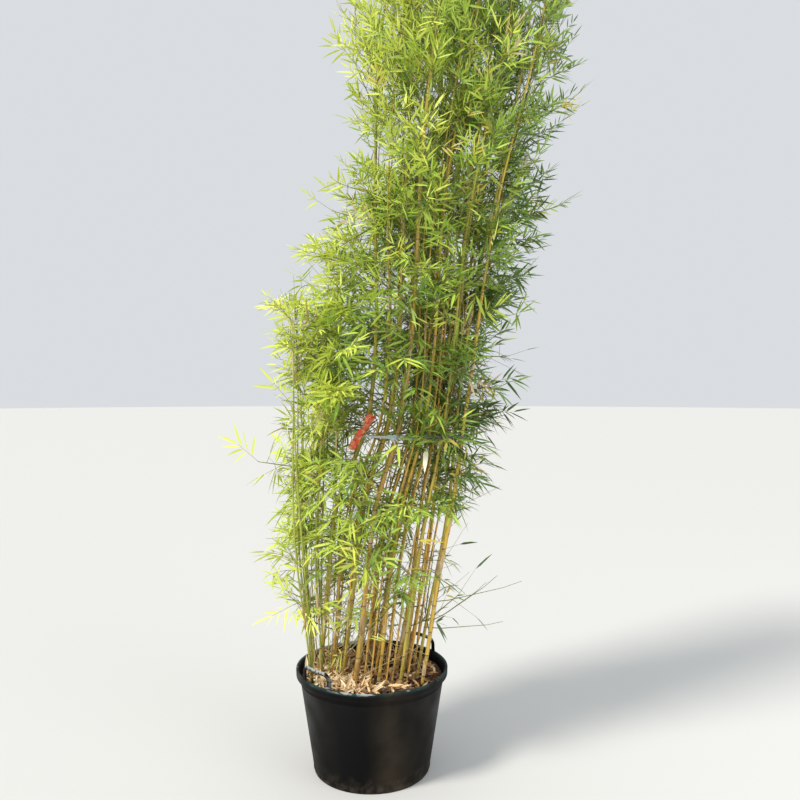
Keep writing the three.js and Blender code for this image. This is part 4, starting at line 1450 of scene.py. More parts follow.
@dataclass
class Foliage:
    """Boughs, twigs and leaves: each mass's own skeleton, and finer twigs from the canes' joints."""

    canes: list[CaneLine]
    slender: list[CaneLine]
    low: Array
    high: Array
    seed: int = 7
    steps: int = 5
    proud: Triple = (40.0, 28.0, 14.0)
    twiglet_spacing: float = 27.0
    tuft: float = 165.0
    leaf_size: Pair = (48.0, 108.0)
    leaf_shape: Pair = (0.088, 0.12)
    side_twigs: tuple[tuple[Triple, Triple], ...] = (
        ((262.0, -20.0, 590.0), (490.0, -60.0, 765.0)), ((275.0, -40.0, 640.0), (585.0, -70.0, 745.0)),
        ((262.0, -60.0, 560.0), (505.0, -110.0, 600.0)), ((250.0, 40.0, 610.0), (470.0, 90.0, 700.0)),
    )
    dry_leaf: Triple = (205.0, -180.0, 1225.0)
    eye: Triple = (0.0, -3000.0, 1500.0)
    windows: tuple[tuple[float, float, float, float], ...] = (
        (-62.0, -44.0, 1352.0, 78.0), (-86.0, -70.0, 1290.0, 62.0), (-40.0, -30.0, 1395.0, 60.0),
        (20.0, -100.0, 1316.0, 26.0), (66.0, -130.0, 1312.0, 26.0), (205.0, -170.0, 1232.0, 54.0),
    )
    bare_heights: Steps = (600.0, 850.0, 1050.0, 1250.0, 1450.0, 1850.0, 2250.0)
    bare_shares: Steps = (0.34, 0.34, 0.3, 0.3, 0.38, 0.6, 0.85)
    fan: Steps = (4.0, 27.0, 38.0, 46.0, 52.0, 57.0, 61.0, 64.0)
    sunward: Triple = (-0.78, -0.38, 0.5)
    sun_steps: Steps = (-0.72, -0.46, -0.22, 0.02, 0.3, 0.6)
    yellow_below: float = 0.035
    dry_above: float = 0.992
    room_floor: float = 390.0
    joint_branch_count: int = 3
    third_branch_share: float = 0.45
    branch_lengths: Pair = (240.0, 520.0)
    shoot_branch_lengths: Pair = (130.0, 330.0)
    shortest_branch: float = 70.0
    spray_reach: float = 90.0
    trims: int = 9
    trim: float = 0.84
    twiglet_lengths: Pair = (44.0, 104.0)
    end_twiglet: float = 118.0
    dead_lengths: Pair = (110.0, 400.0)
    dead_top: float = 2400.0

    def __post_init__(self) -> None:
        """Grows the skeletons of the masses, and reads where the canes stand."""
        self.rng = np.random.default_rng(self.seed)
        obstacles = Segments.joined([
            TieRule().segments(self.canes), RibbonRule().segments(self.canes), Segments.of_canes(self.canes)])
        self.masses = [
            MassRule(Cell(sector, band), self.canes, obstacles)
            for sector in range(len(Crown.SECTORS)) for band in range(Crown.BANDS)
        ]
        for mass in self.masses:
            mass.grow()
        every = self.canes + self.slender
        self.table = CaneTable(every)
        self.joints = [(cane, k, z) for cane in every for k, z in enumerate(cane.joints())]

    def bend(self, base: Array, azimuth: Array, climb: Array, droop: Array, lengths: Array) -> Array:
        """Draws arching branches.

        Args:
            base: Where they start.
            azimuth: The way they head, seen from above.
            climb: How steeply they leave, in radians.
            droop: How much flatter they end.
            lengths: Their lengths.

        Returns:
            Their middle lines, n by steps + 1 by 3.
        """
        points = [base]
        for k in range(self.steps):
            steep = climb - droop * (k + 0.5) / self.steps
            turn = azimuth + 0.12 * np.sin(k * 2.1 + azimuth * 3.0)
            step = np.stack([np.cos(steep) * np.cos(turn), np.cos(steep) * np.sin(turn), np.sin(steep)], -1)
            points.append(points[-1] + step * lengths[:, None] / self.steps)
        return np.stack(points, axis=1)

    def outline_share(self, points: Array) -> Array:
        """Returns how far out points lie beside the crown's ragged outline."""
        out, angle = Crown.polar(points)
        z = points[..., 2]
        ragged = 0.09 * np.sin(3.0 * angle + z / 170.0) + 0.08 * np.sin(7.0 * angle - z / 95.0)
        return out / (1.0 + ragged)

    def fullness(self, points: Array, shoots: Array) -> Array:
        """Reads how leafy canes are, from bare feet to full foliage.

        Args:
            points: Places on them.
            shoots: 1 where the cane is a shoot, or 0.

        Returns:
            Shares of full.
        """
        x, z = points[..., 0], points[..., 2]
        leftness = ramp(-x, -120.0, 100.0)
        start = mix(mix(480.0, 430.0, leftness), 400.0, shoots)
        full = mix(mix(1350.0, 1050.0, leftness), 750.0, shoots)
        return mix(0.05, 1.0, ramp(z, start, full))

    def openness(self, points: Array) -> Array:
        """Reads the share of sprays that grow: few before the canes, and in tufts all over.

        Args:
            points: Where they would grow.

        Returns:
            The shares.
        """
        x, z = points[:, 0], points[:, 2]
        left = ramp(-x - 120.0 * ramp(-z, -1420.0, -1200.0), 50.0, 190.0)
        middle = np.interp(z, self.bare_heights, self.bare_shares)
        middle = np.maximum(middle, 0.55 * ramp(x, 250.0, 340.0) * ramp(z, 600.0, 900.0))
        middle = np.maximum(middle, 0.85 * ramp(x, 330.0, 460.0) * ramp(z, 1450.0, 1800.0))
        before = ramp(-points[:, 1], -60.0, 120.0) * ramp(z, 1300.0, 1500.0)
        middle = middle * (1.0 - 0.5 * before * ramp(-z, -2500.0, -2050.0))
        side = mix(0.55, 1.0, ramp(z, 430.0, 950.0))
        tufts = np.array([noise.noise(Vector(p) / self.tuft) for p in points])
        full = mix(mix(0.78, 0.88, left), 0.6, ramp(z, 1900.0, 2700.0))
        return mix(middle, side, left) * np.clip(full + mix(2.0, 1.7, left) * tufts, 0.05, 1.0)

    def in_room(self, points: Array) -> Array:
        """Tests which points lie in the solids' box, or no further from it than foliage may be."""
        low = self.low - self.proud
        low[2] = self.room_floor
        return ((points > low) & (points < self.high + self.proud)).all(axis=-1)

    def seen_through(self, points: Array) -> Array:
        """Tests which points would hide the ribbon, the cord or the pale leaf from the front.

        Args:
            points: The points.

        Returns:
            True for each that would.
        """
        hiding = np.zeros(len(points), bool)
        for *place, radius in self.windows:
            target = np.array(place)
            way = unit(self.eye - target)
            along = (points - target) @ way
            off = norm(points - target - along[:, None] * way, axis=-1)
            hiding |= (along > -10.0) & (off < radius)
        return hiding

    def allowed(self, leaves: Leaves) -> Array:
        """Tests which leaves keep to the room for foliage and hide neither ribbon nor cord."""
        clear = self.in_room(leaves.ends())
        for share in (0.1, 0.5, 0.95):
            clear &= ~self.seen_through(mix(leaves.roots, leaves.ends(), share))
        return clear

    def joint_branches(self) -> tuple[Array, Array]:
        """Grows side branches from the joints of every cane.

        Returns:
            Their middle lines and their lengths.
        """
        rows = []
        for cane, k, z in self.joints:
            share = (z - cane.foot) / (cane.top - cane.foot)
            for j in range(self.joint_branch_count):
                rows.append((*cane.at(z), float(cane.is_shoot()), share, (k + j) % 2, j))
        table = np.array(rows)
        table = table[self.rng.random(len(table)) < self.fullness(table[:, :3], table[:, 3])]
        table = table[(table[:, 6] < 2) | (self.rng.random(len(table)) < self.third_branch_share)]
        base, shoot, share = table[:, :3], table[:, 3], table[:, 4]
        n = len(base)
        z = base[:, 2]
        away, out = Crown.outward(base), Crown.polar(base)[0]
        sign = np.where(table[:, 5] > 0.5, 1.0, -1.0)
        swing = sign * self.rng.uniform(0.05, mix(1.0, 0.62, np.clip(out, 0, 1)), n) * pi
        azimuth = np.arctan2(away[:, 1], away[:, 0]) + swing
        high = ramp(z, 1700.0, 3300.0)
        climb = mix(0.75, 1.12, high) + self.rng.normal(0.0, 0.16, n)
        droop = mix(0.85, 0.35, high) * self.rng.uniform(0.5, 1.3, n)
        lengths = mix(
            self.rng.uniform(*self.branch_lengths, n) * (1.0 - 0.5 * ramp(share, 0.75, 1.0)),
            self.rng.uniform(*self.shoot_branch_lengths, n), shoot,
        )
        for _ in range(self.trims):
            curves = self.bend(base, azimuth, climb, droop, lengths)
            ends = curves[:, -1] + unit(curves[:, -1] - curves[:, -2]) * self.spray_reach
            over = (self.outline_share(ends) > 1.0) | ~self.in_room(ends)
            lengths = np.where(over, lengths * self.trim, lengths)
        curves = self.bend(base, azimuth, climb, droop, lengths)
        kept = (lengths > self.shortest_branch) & ~self.seen_through(curves[:, 3])
        kept &= ~self.seen_through(curves[:, 5])
        kept &= self.rng.random(n) < np.sqrt(self.openness(curves[:, 3]))
        return curves[kept], lengths[kept]

    def mass_limbs(self) -> tuple[Array, Array]:
        """Rounds the masses' own stems and twigs.

        Returns:
            Their middle lines and their lengths.
        """
        limbs = np.array([limb for mass in self.masses for limb in mass.limbs])
        start, middle, end = limbs[:, :1], limbs[:, 1:2], limbs[:, 2:]
        control = 2.0 * middle - (start + end) / 2.0
        t = np.linspace(0.0, 1.0, self.steps + 1)[:, None]
        curves = (1 - t) ** 2 * start + 2 * t * (1 - t) * control + t**2 * end
        return curves, norm(end - start, axis=-1)[:, 0]

    def twiglets(self, curves: Array, lengths: Array, bare: float) -> Sprays:
        """Grows short twiglets to both sides of branches.

        Args:
            curves: The branches' middle lines.
            lengths: Their lengths.
            bare: The share of each branch from its root that bears none.

        Returns:
            The twiglets, the last of each branch at its tip.
        """
        counts = np.maximum((lengths * (1.0 - bare) / self.twiglet_spacing).astype(int), 1)
        owner, order = dealt(counts)
        n = len(owner)
        last = order == counts[owner] - 1
        share = bare + (1.0 - bare) * (order + 1.0 - self.rng.uniform(0.0, 0.6, n)) / counts[owner]
        share = np.where(last, 1.0, share)
        place = np.minimum(share * self.steps, self.steps - 1e-6)
        k, rest = place.astype(int), place - place.astype(int)
        seats = mix(curves[owner, k], curves[owner, k + 1], rest[:, None])
        along = unit(curves[owner, k + 1] - curves[owner, k])
        side = unit(np.cross(along, UP))
        other = np.cross(side, along)
        roll = self.rng.normal(0.0, 0.65, n)
        sign = np.where(order % 2 == 1, 1.0, -1.0)
        lateral = side * (np.cos(roll) * sign)[:, None] + other * np.sin(roll)[:, None]
        angle = np.where(last, 0.1, self.rng.uniform(0.5, 0.95, n))[:, None]
        lift = mix(-0.12, 0.5, ramp(seats[:, 2], 900.0, 3300.0))[:, None]
        directions = unit(along * np.cos(angle) + lateral * np.sin(angle) + UP * lift)
        sizes = self.rng.uniform(*self.twiglet_lengths, n) * (1.0 - 0.3 * share)
        facings = Crown.outward(seats) * 0.6 + UP * 0.75 + self.rng.normal(0.0, 0.45, (n, 3))
        vigour = self.rng.uniform(0.86, 1.12, n)
        return Sprays(seats, directions, sizes, unit(facings), vigour)

    def end_sprays(self) -> Sprays:
        """Returns one spray for each leaf of the masses' own skeletons, in its place and of its reach."""
        found = [leaf for mass in self.masses for leaf in mass.leaves]
        seats, directions, facings = (np.array([leaf[i] for leaf in found]) for i in range(3))
        vigour = np.where(Crown.polar(seats)[0] > 0.95, 1.35, 1.05)
        return Sprays(seats, directions, np.full(len(found), self.end_twiglet), facings, vigour)

    def leaves_of(self, sprays: Sprays, fewest: Array | int, most: Array | int) -> tuple[Leaves, Array]:
        """Fans leaves out from the ends of twiglets.

        Args:
            sprays: The twiglets.
            fewest: The fewest leaves of each.
            most: The most of each.

        Returns:
            The leaves, with tint 0, and the number of each one's spray.
        """
        counts = (fewest + self.rng.random(len(sprays.lengths)) * (most + 1 - fewest)).astype(int)
        owner, order = dealt(counts)
        n = len(owner)
        direction, facing = sprays.directions[owner], sprays.facings[owner]
        side = unit(np.cross(direction, facing))
        facing = np.cross(side, direction)
        sign = np.where((order + owner) % 2 == 0, 1.0, -1.0)
        angle = np.radians(np.array(self.fan)[order] + self.rng.normal(0.0, 7.0, n))[:, None]
        heading = direction * np.cos(angle) + side * np.sin(angle) * sign[:, None]
        upright = mix(-0.08, 0.26, ramp(sprays.seats[owner, 2], 1200.0, 3300.0))
        heading = unit(heading + self.rng.normal(0.0, 0.1, (n, 3)) + UP * upright[:, None])
        back = np.minimum(order * self.rng.uniform(10.0, 17.0, n), sprays.lengths[owner] * 0.92)
        roots = sprays.tips()[owner] - direction * back[:, None]
        sizes = mix(*self.leaf_size, self.rng.random(n) ** 1.5) * sprays.vigour[owner]
        sizes = sizes * mix(1.0, 0.8, ramp(roots[:, 2], 1400.0, 2500.0))
        sizes = sizes * np.where(order == 0, 0.94, 1.0)
        widths = sizes * self.rng.uniform(*self.leaf_shape, n)
        tilt = facing + side * self.rng.normal(0.0, 0.4, n)[:, None]
        droops = self.rng.uniform(0.02, 0.2, n) * mix(1.0, 0.55, ramp(roots[:, 2], 1500.0, 3400.0))
        return Leaves(roots, heading, unit(tilt), sizes, widths, droops, np.zeros(n, int)), owner

    def tints(self, sprays: Sprays) -> Array:
        """Deals a tint to each spray by how sunlit its place is.

        Args:
            sprays: The sprays.

        Returns:
            The numbers of their tints.
        """
        points = sprays.tips()
        out = Crown.polar(points)[0]
        away = Crown.outward(points) * np.minimum(out, 1.0)[:, None]
        away[:, 2] = ramp(points[:, 2], 600.0, 3900.0) - 0.45
        n = len(points)
        sun = away @ unit(self.sunward) + 0.5 * (np.minimum(out, 1.0) - 0.7)
        sun = sun + self.rng.normal(0.0, 0.34, n) + 0.28 * ramp(-points[:, 2], -1300.0, -800.0)
        sun = sun + 0.18 * ramp(-points[:, 0], 0.0, 200.0) * ramp(points[:, 2], 1200.0, 1500.0)
        tints = np.searchsorted(self.sun_steps, sun)
        odd = self.rng.random(n)
        tints = np.where(odd < self.yellow_below, list(LeafTint).index(LeafTint.YELLOW), tints)
        return np.where(odd > self.dry_above, list(LeafTint).index(LeafTint.DRY), tints)

    def build(self) -> None:
        """Grows everything and enters one piece of leaves and one of twigs for each mass."""
        joints, joint_lengths = self.joint_branches()
        limbs, limb_lengths = self.mass_limbs()
        shares = np.linspace(0.0, 1.0, self.steps + 1)[:, None]
        sides = np.array([mix(self.joint_near(a), b, shares) for a, b in self.side_twigs])
        sides[:, 1:-1, 2] -= 9.0
        from_joints = self.twiglets(joints, joint_lengths, 0.16)
        others = Sprays.joined([
            self.twiglets(limbs, limb_lengths, 0.3), self.twiglets(sides, np.full(len(sides), 140.0), 0.5),
        ])
        fine = Sprays.joined([
            lot.picked(self.rng.random(len(lot.lengths)) < self.openness(lot.tips()) ** power)
            for lot, power in ((from_joints, 0.5), (others, 1.0))
        ])
        ends = self.end_sprays()
        x, z = ends.seats[:, 0], ends.seats[:, 2]
        low = (x > -160.0 - 110.0 * ramp(-z, -1420.0, -1200.0)) * ramp(-z, -2500.0, -1500.0)
        fine_leaves, fine_owner = self.leaves_of(fine, 5, 8)
        end_leaves, end_owner = self.leaves_of(ends, mix(5, 1, low), mix(8, 2, low))
        reach = 1.0 + 0.16 * self.rng.random(len(fine.lengths)) ** 3
        kept = self.outline_share(fine_leaves.ends()) < reach[fine_owner]
        kept &= self.table.cleared_by(fine_leaves) & self.allowed(fine_leaves)
        inside = self.allowed(end_leaves)
        end_leaves, end_owner = end_leaves.picked(inside), end_owner[inside]
        sprays = Sprays.joined([fine, ends])
        tints = self.tints(sprays)
        cells = Crown.cell_numbers(sprays.tips())
        owner = np.concatenate([fine_owner[kept], end_owner + len(fine.lengths)])
        leaves = Leaves.joined([fine_leaves.picked(kept), end_leaves])
        leaves.tints = tints[owner]
        bearing = np.bincount(owner, minlength=len(cells)) > 0
        log.info("%d sprays, %d leaves", int(bearing.sum()), len(owner))
        hanging = self.hanging_leaf()
        self.enter_leaves(
            Leaves.joined([leaves, hanging]), np.append(cells[owner], Crown.cell_numbers(hanging.roots)))
        self.enter_twigs(
            [(joints, 2.0, 0.8), (limbs, 2.9, 1.3), (sides, 1.9, 0.8)], sprays.picked(bearing), cells[bearing]
        )
        self.enter_dead_twigs()

    def joint_near(self, place: Triple) -> Array:
        """Returns the front of the cane joint nearest to a place."""
        seats = np.array([cane.at(z) - (0.0, cane.radius_at(z) * 0.8, 0.0) for cane, _, z in self.joints])
        return seats[np.argmin(norm(seats - place, axis=-1))]

    def hanging_leaf(self) -> Leaves:
        """Returns the dry pale leaf that hangs from a joint at the front."""
        dry = list(LeafTint).index(LeafTint.CREAM)
        return Leaves(
            self.joint_near(self.dry_leaf)[None], unit([[-0.12, -0.5, -1.0]]),
            unit([[-0.4, -0.9, 0.5]]), np.array([98.0]), np.array([21.0]), np.array([0.05]),
            np.array([dry]),
        )

    def enter_dead_twigs(self) -> None:
        """Enters the fine bare twigs that cross between the canes, mostly low down."""
        base = np.array([cane.at(z) for cane, _, z in self.joints if z < self.dead_top]).repeat(2, axis=0)
        base = base[self.rng.random(len(base)) < mix(0.34, 0.16, ramp(base[:, 2], 500.0, 2200.0))]
        n = len(base)
        lengths = self.rng.uniform(*self.dead_lengths, n)
        curves = self.bend(
            base, self.rng.uniform(0.0, TURN, n), self.rng.uniform(0.4, 1.25, n),
            self.rng.uniform(-0.1, 0.25, n), lengths,
        )
        kept = self.in_room(curves[:, -1]) & ~self.seen_through(curves[:, 3])
        kept &= self.outline_share(curves[:, -1]) < 1.0
        curves = curves[kept]
        bark = Speckled("dead_twig", srgb(210, 188, 146), srgb(168, 144, 106), (90.0, 90.0, 90.0)).material()
        enter(twig_mesh("dead_twigs", [(curves, 1.3, 0.6, 4)]), [bark])

    def enter_leaves(self, leaves: Leaves, cells: Array) -> None:
        """Enters the leaves of each mass as a piece.

        Args:
            leaves: All the leaves.
            cells: The number of each one's mass.
        """
        blade = Blade()
        materials = [tint.material("leaf", 0.46) for tint in LeafTint]
        for number, mass in enumerate(self.masses):
            mesh = blade.mesh(f"foliage_{mass.cell.place}", leaves.picked(cells == number))
            enter(mesh, materials, [mass.cell.name])

    def enter_twigs(self, branches: list[tuple[Array, float, float]], sprays: Sprays, cells: Array) -> None:
        """Enters the branches and twiglets of each mass as a piece.

        Args:
            branches: Lots of middle lines, with their radii at root and tip.
            sprays: The twiglets.
            cells: The number of each twiglet's mass.
        """
        bark = Speckled(
            "twig_bark", srgb(148, 140, 66), srgb(104, 112, 48), (90.0, 90.0, 90.0), 0.55
        ).material()
        short = np.stack([sprays.seats, sprays.tips()], axis=1)
        owned = [(curves, root, tip, Crown.cell_numbers(curves[:, 3])) for curves, root, tip in branches]
        for number, mass in enumerate(self.masses):
            lots = [(c[where == number], root, tip, 4) for c, root, tip, where in owned]
            lots.append((short[cells == number], 1.0, 0.5, 3))
            enter(twig_mesh(f"twigs_{mass.cell.place}", lots), [bark], [mass.cell.name])


# The tub and what it holds.


@dataclass
class Tub:
    """The black nursery tub: a slightly flared wall with a deep rim, a bead under it and a foot ring."""

    height: float = 0.4
    base_radius: float = 0.23
    body_radius: float = 0.286
    rim_radius: float = 0.3
    rim_height: float = 0.028
    wall: float = 0.005
    floor: float = 0.008
    steps: int = 96
    edge: float = 0.0024

    def outer(self, z: float) -> float:
        """Returns the wall's outer radius at a height."""
        return mix(self.base_radius, self.body_radius, z / (self.height - self.rim_height))

    def inner(self, z: float) -> float:
        """Returns the wall's inner radius at a height."""
        return self.outer(z) - self.wall

    def profile(self) -> list[Pair]:
        """Draws half the section, from the middle of the base round to the inside.

        Returns:
            Its corners.
        """
        under, base, out, rim = self.height - self.rim_height, self.base_radius, self.outer, self.rim_radius
        bead, foot = under - 0.03, 0.012
        return [
            (0.0, 0.004), (base - 0.022, 0.004), (base - 0.018, 0.0), (base - 0.002, 0.0),
            (out(foot), foot), (out(foot) - 0.0012, foot + 0.003), (out(bead) - 0.0008, bead),
            (out(bead) + 0.0014, bead + 0.003), (out(bead) + 0.0014, bead + 0.008),
            (out(bead) - 0.0004, bead + 0.011), (out(under) - 0.0006, under), (rim - 0.001, under),
            (rim, self.height), (rim - 0.009, self.height), (self.inner(under), under - 0.006),
            (self.inner(0.02), 0.02), (0.0, self.floor),
        ]

    def build(self) -> None:
        """Enters the tub and its two handles."""
        plastic = TubPlastic().material()
        bm = spun(self.profile(), self.steps)
        bmesh.ops.recalc_face_normals(bm, faces=bm.faces)
        sharp = [
            e for e in bm.edges
            if len(e.link_faces) == 2 and e.calc_face_angle(0.0) > 0.6 and e.verts[0].co.z > 0.3
        ]
        bmesh.ops.bevel(
            bm, geom=sharp, offset=self.edge, offset_type="OFFSET", affect="EDGES", segments=3,
            profile=0.5, material=-1, clamp_overlap=True,
        )
        mesh = finished(bm, "tub_wall")
        mesh.set_sharp_from_angle(angle=radians(38.0))
        enter(mesh, [plastic], ["pot"])
        for side, turn in (("left", -137.0), ("right", 43.0)):
            enter(Handle(radians(turn)).mesh(f"grip_{side}"), [plastic], [f"handle_{side}"])


@dataclass
class Handle:
    """A strap handle that stands on the rim, bent round it, with feet that spread where they join."""

    turn: float
    bend_radius: float = 0.2905
    foot: float = 0.4003
    width: float = 0.16
    height: float = 0.056
    strap: float = 0.018
    bar: float = 0.014
    thickness: float = 0.008
    corner: float = 0.024
    step: float = 0.0034
    sides: int = 20
    foot_spread: float = 0.32
    foot_rise: float = 0.012
    roundness: float = 0.45

    def __post_init__(self) -> None:
        """Works out the middle line's points and headings, along and up: a bend at each upper corner."""
        across, rise = (self.width - self.strap) / 2.0, self.height - self.bar / 2.0 - self.corner
        t = np.linspace(0.0, pi / 2.0, 12)
        bend = np.stack([self.corner * (1.0 - np.cos(t)) - across, rise + self.corner * np.sin(t)], axis=-1)
        half = np.concatenate([[(-across, 0.0)], bend])
        self.points = evenly(np.concatenate([half, half[::-1] * (-1.0, 1.0)]), self.step)
        self.headings = unit(np.gradient(self.points, axis=0))

    def place(self, ring: int, angle: float) -> Vector:
        """Places a point of the strap's skin.

        Args:
            ring: The ring's number along the strap.
            angle: The angle round it.

        Returns:
            The point.
        """
        (x, z), (level, steep) = self.points[ring], self.headings[ring]
        spread = 1.0 + self.foot_spread * max(0.0, 1.0 - z / self.foot_rise)
        width = mix(self.strap, self.bar, abs(level)) * spread
        c, s = cos(angle), sin(angle)
        across = copysign(abs(c) ** self.roundness, c) * width / 2.0
        out = copysign(abs(s) ** self.roundness, s) * self.thickness / 2.0
        bearing = self.turn + (x - steep * across) / self.bend_radius
        radius = self.bend_radius + out
        up = max(z + level * across, 0.0)
        return Vector((radius * cos(bearing), radius * sin(bearing), self.foot + up))

    def mesh(self, name: str) -> Mesh:
        """Returns the handle's mesh."""
        bm = bmesh.new()
        wrap_tube(bm, self.sides, len(self.points), self.place)
        mesh = finished(bm, name)
        mesh.set_sharp_from_angle(angle=radians(55.0))
        return mesh


@dataclass
class Bed:
    """The potting mix, and what lies and stands on it: fallen leaves and the stubs of cut canes."""

    tub: Tub
    table: CaneTable
    top: float = SOIL_TOP * MM
    fallen: int = 2300
    stubs: int = 16
    seed: int = 23
    litter_reach: float = 262.0
    litter_edge: float = 270.0
    leaf_lengths: Pair = (26.0, 82.0)
    paleness_steps: Steps = (0.06, 0.22, 0.4, 0.62)
    stub_radii: Pair = (0.004, 0.009)
    stub_heights: Pair = (0.012, 0.05)

    def rise(self, x: float, y: float) -> float:
        """Returns the surface's height above its level, in metres."""
        lumps = noise.noise(Vector((x * 7.0, y * 7.0, 3.1))) * 0.009
        return lumps + noise.noise(Vector((x * 38.0, y * 38.0, 8.4))) * 0.0032

    def soil(self) -> Mesh:
        """Makes the mix, a closed disc with an uneven top.

        Returns:
            Its mesh.
        """
        edge = self.tub.inner(self.top) - 0.0006
        top = [(edge * k / 34, self.top) for k in range(35)]
        bm = spun([*top, (self.tub.inner(0.3) - 0.0006, 0.3), (0.0, 0.3)], 110)
        for v in bm.verts:
            if v.co.z > 0.35:
                v.co.z += self.rise(v.co.x, v.co.y)
        return finished(bm, "potting_bed")

    def litter(self) -> Mesh:
        """Strews the fallen leaves, thicker at the left and paler in the upper layers, with painted sunlight
        making them paler at the left.

        Returns:
            Their mesh.
        """
        random = np.random.default_rng(self.seed)
        n = self.fallen
        radius = self.litter_reach * np.sqrt(random.random(n))
        angle = random.uniform(0.0, TURN, n)
        x, y = radius * np.cos(angle), radius * np.sin(angle)
        kept = random.random(n) < mix(0.55, 1.0, ramp(-x, -120.0, 120.0))
        x, y = x[kept], y[kept]
        n = len(x)
        ground = np.array([self.rise(a * MM, b * MM) / MM for a, b in zip(x, y, strict=True)])
        heading = random.uniform(0.0, TURN, n)
        # Leftness: the heap is thicker and more tilted towards the left and front, and its paleness there is
        # painted sunlight.
        left = ramp(-x - y * 0.3, -60.0, 200.0)
        pitch = random.normal(0.0, mix(0.14, 0.42, left), n)
        flat = np.cos(pitch)
        directions = np.stack([np.cos(heading) * flat, np.sin(heading) * flat, np.abs(np.sin(pitch))], -1)
        layer = random.random(n) ** 1.4
        roots = np.stack([x, y, SOIL_TOP + ground + 1.5 + mix(13.0, 24.0, left) * layer], axis=-1)
        sizes = random.uniform(*self.leaf_lengths, n)
        facings = unit(UP + random.normal(0.0, 0.6, (n, 3)))
        # Paler in the upper layers, and paler at the left and front as painted sunlight.
        paleness = 0.34 * layer + 0.46 * left + random.normal(0.0, 0.2, n)
        tints = len(LitterTint) - 1 - np.searchsorted(self.paleness_steps, paleness)
        leaves = Leaves(
            roots, directions, facings, sizes, sizes * random.uniform(0.12, 0.21, n),
            random.uniform(-0.05, 0.06, n), tints,
        )
        ends = leaves.ends()
        inside = np.hypot(ends[:, 0], ends[:, 1]) < self.litter_edge
        inside &= self.table.cleared_by(leaves)
        return Blade(fold=0.3).mesh("fallen_leaves", leaves.picked(inside))

    def cut_canes(self) -> Mesh:
        """Stands the short stubs of old canes in the mix.

        Returns:
            Their mesh.
        """
        random = np.random.default_rng(self.seed + 1)
        bm, made = bmesh.new(), 0
        while made < self.stubs:
            x, y = random.uniform(-0.2, 0.25), random.uniform(-0.24, 0.2)
            radius, height = random.uniform(*self.stub_radii), random.uniform(*self.stub_heights)
            here = np.array([[x / MM, y / MM, 370.0]])
            if hypot(x, y) > 0.25 or self.table.gaps(here)[0] < radius / MM + 4.0:
                continue
            lean = random.normal(0.0, 0.12, 2)
            slope = random.uniform(0.0, 0.6)

            def place(ring: int, angle: float) -> Vector:
                """Places a point of a stub's skin, its top cut aslant.

                Args:
                    ring: The ring's number from the foot.
                    angle: The angle round the stub.

                Returns:
                    The point.
                """
                along = (0.0, 0.5, 0.96, 1.0, 0.99)[ring] * height
                wide = radius * (1.0, 1.0, 1.0, 0.9, 0.55)[ring]
                top = slope * wide * cos(angle) * (ring > 1)
                z = self.top - 0.006 + along + top
                return Vector((
                    x + lean[0] * along + wide * cos(angle), y + lean[1] * along + wide * sin(angle), z))

            wrap_tube(bm, 10, 5, place, lambda ring: int(ring > 2))
            made += 1
        return finished(bm, "cut_canes")

    def build(self) -> None:
        """Enters the mix, the fallen leaves and the stubs."""
        enter(self.soil(), [PottingMix().material()], ["soil"])
        enter(self.litter(), [tint.material("litter", 0.7) for tint in LitterTint])
        stub = Speckled("stub_skin", srgb(168, 132, 84), srgb(112, 84, 56))
        cut = Speckled("stub_cut", srgb(226, 204, 160), srgb(188, 156, 108), (400.0, 400.0, 400.0), 0.85)
        enter(self.cut_canes(), [stub.material(), cut.material()])


# Canes.


class CaneAge(Enum):
    """The skins of the canes, from ripe gold to old brown, and of the young shoots."""

    GOLD = CaneSkin("cane_gold", srgb(238, 200, 86), srgb(206, 162, 58))
    OCHRE = CaneSkin("cane_ochre", srgb(234, 188, 82), srgb(194, 144, 56))
    OLIVE = CaneSkin("cane_olive", srgb(210, 190, 80), srgb(166, 150, 58), greenest=0.7)
    RUSSET = CaneSkin("cane_russet", srgb(214, 168, 84), srgb(168, 126, 62))
    YOUNG = CaneSkin("cane_young", srgb(176, 184, 78), srgb(140, 152, 62), greenest=0.8)


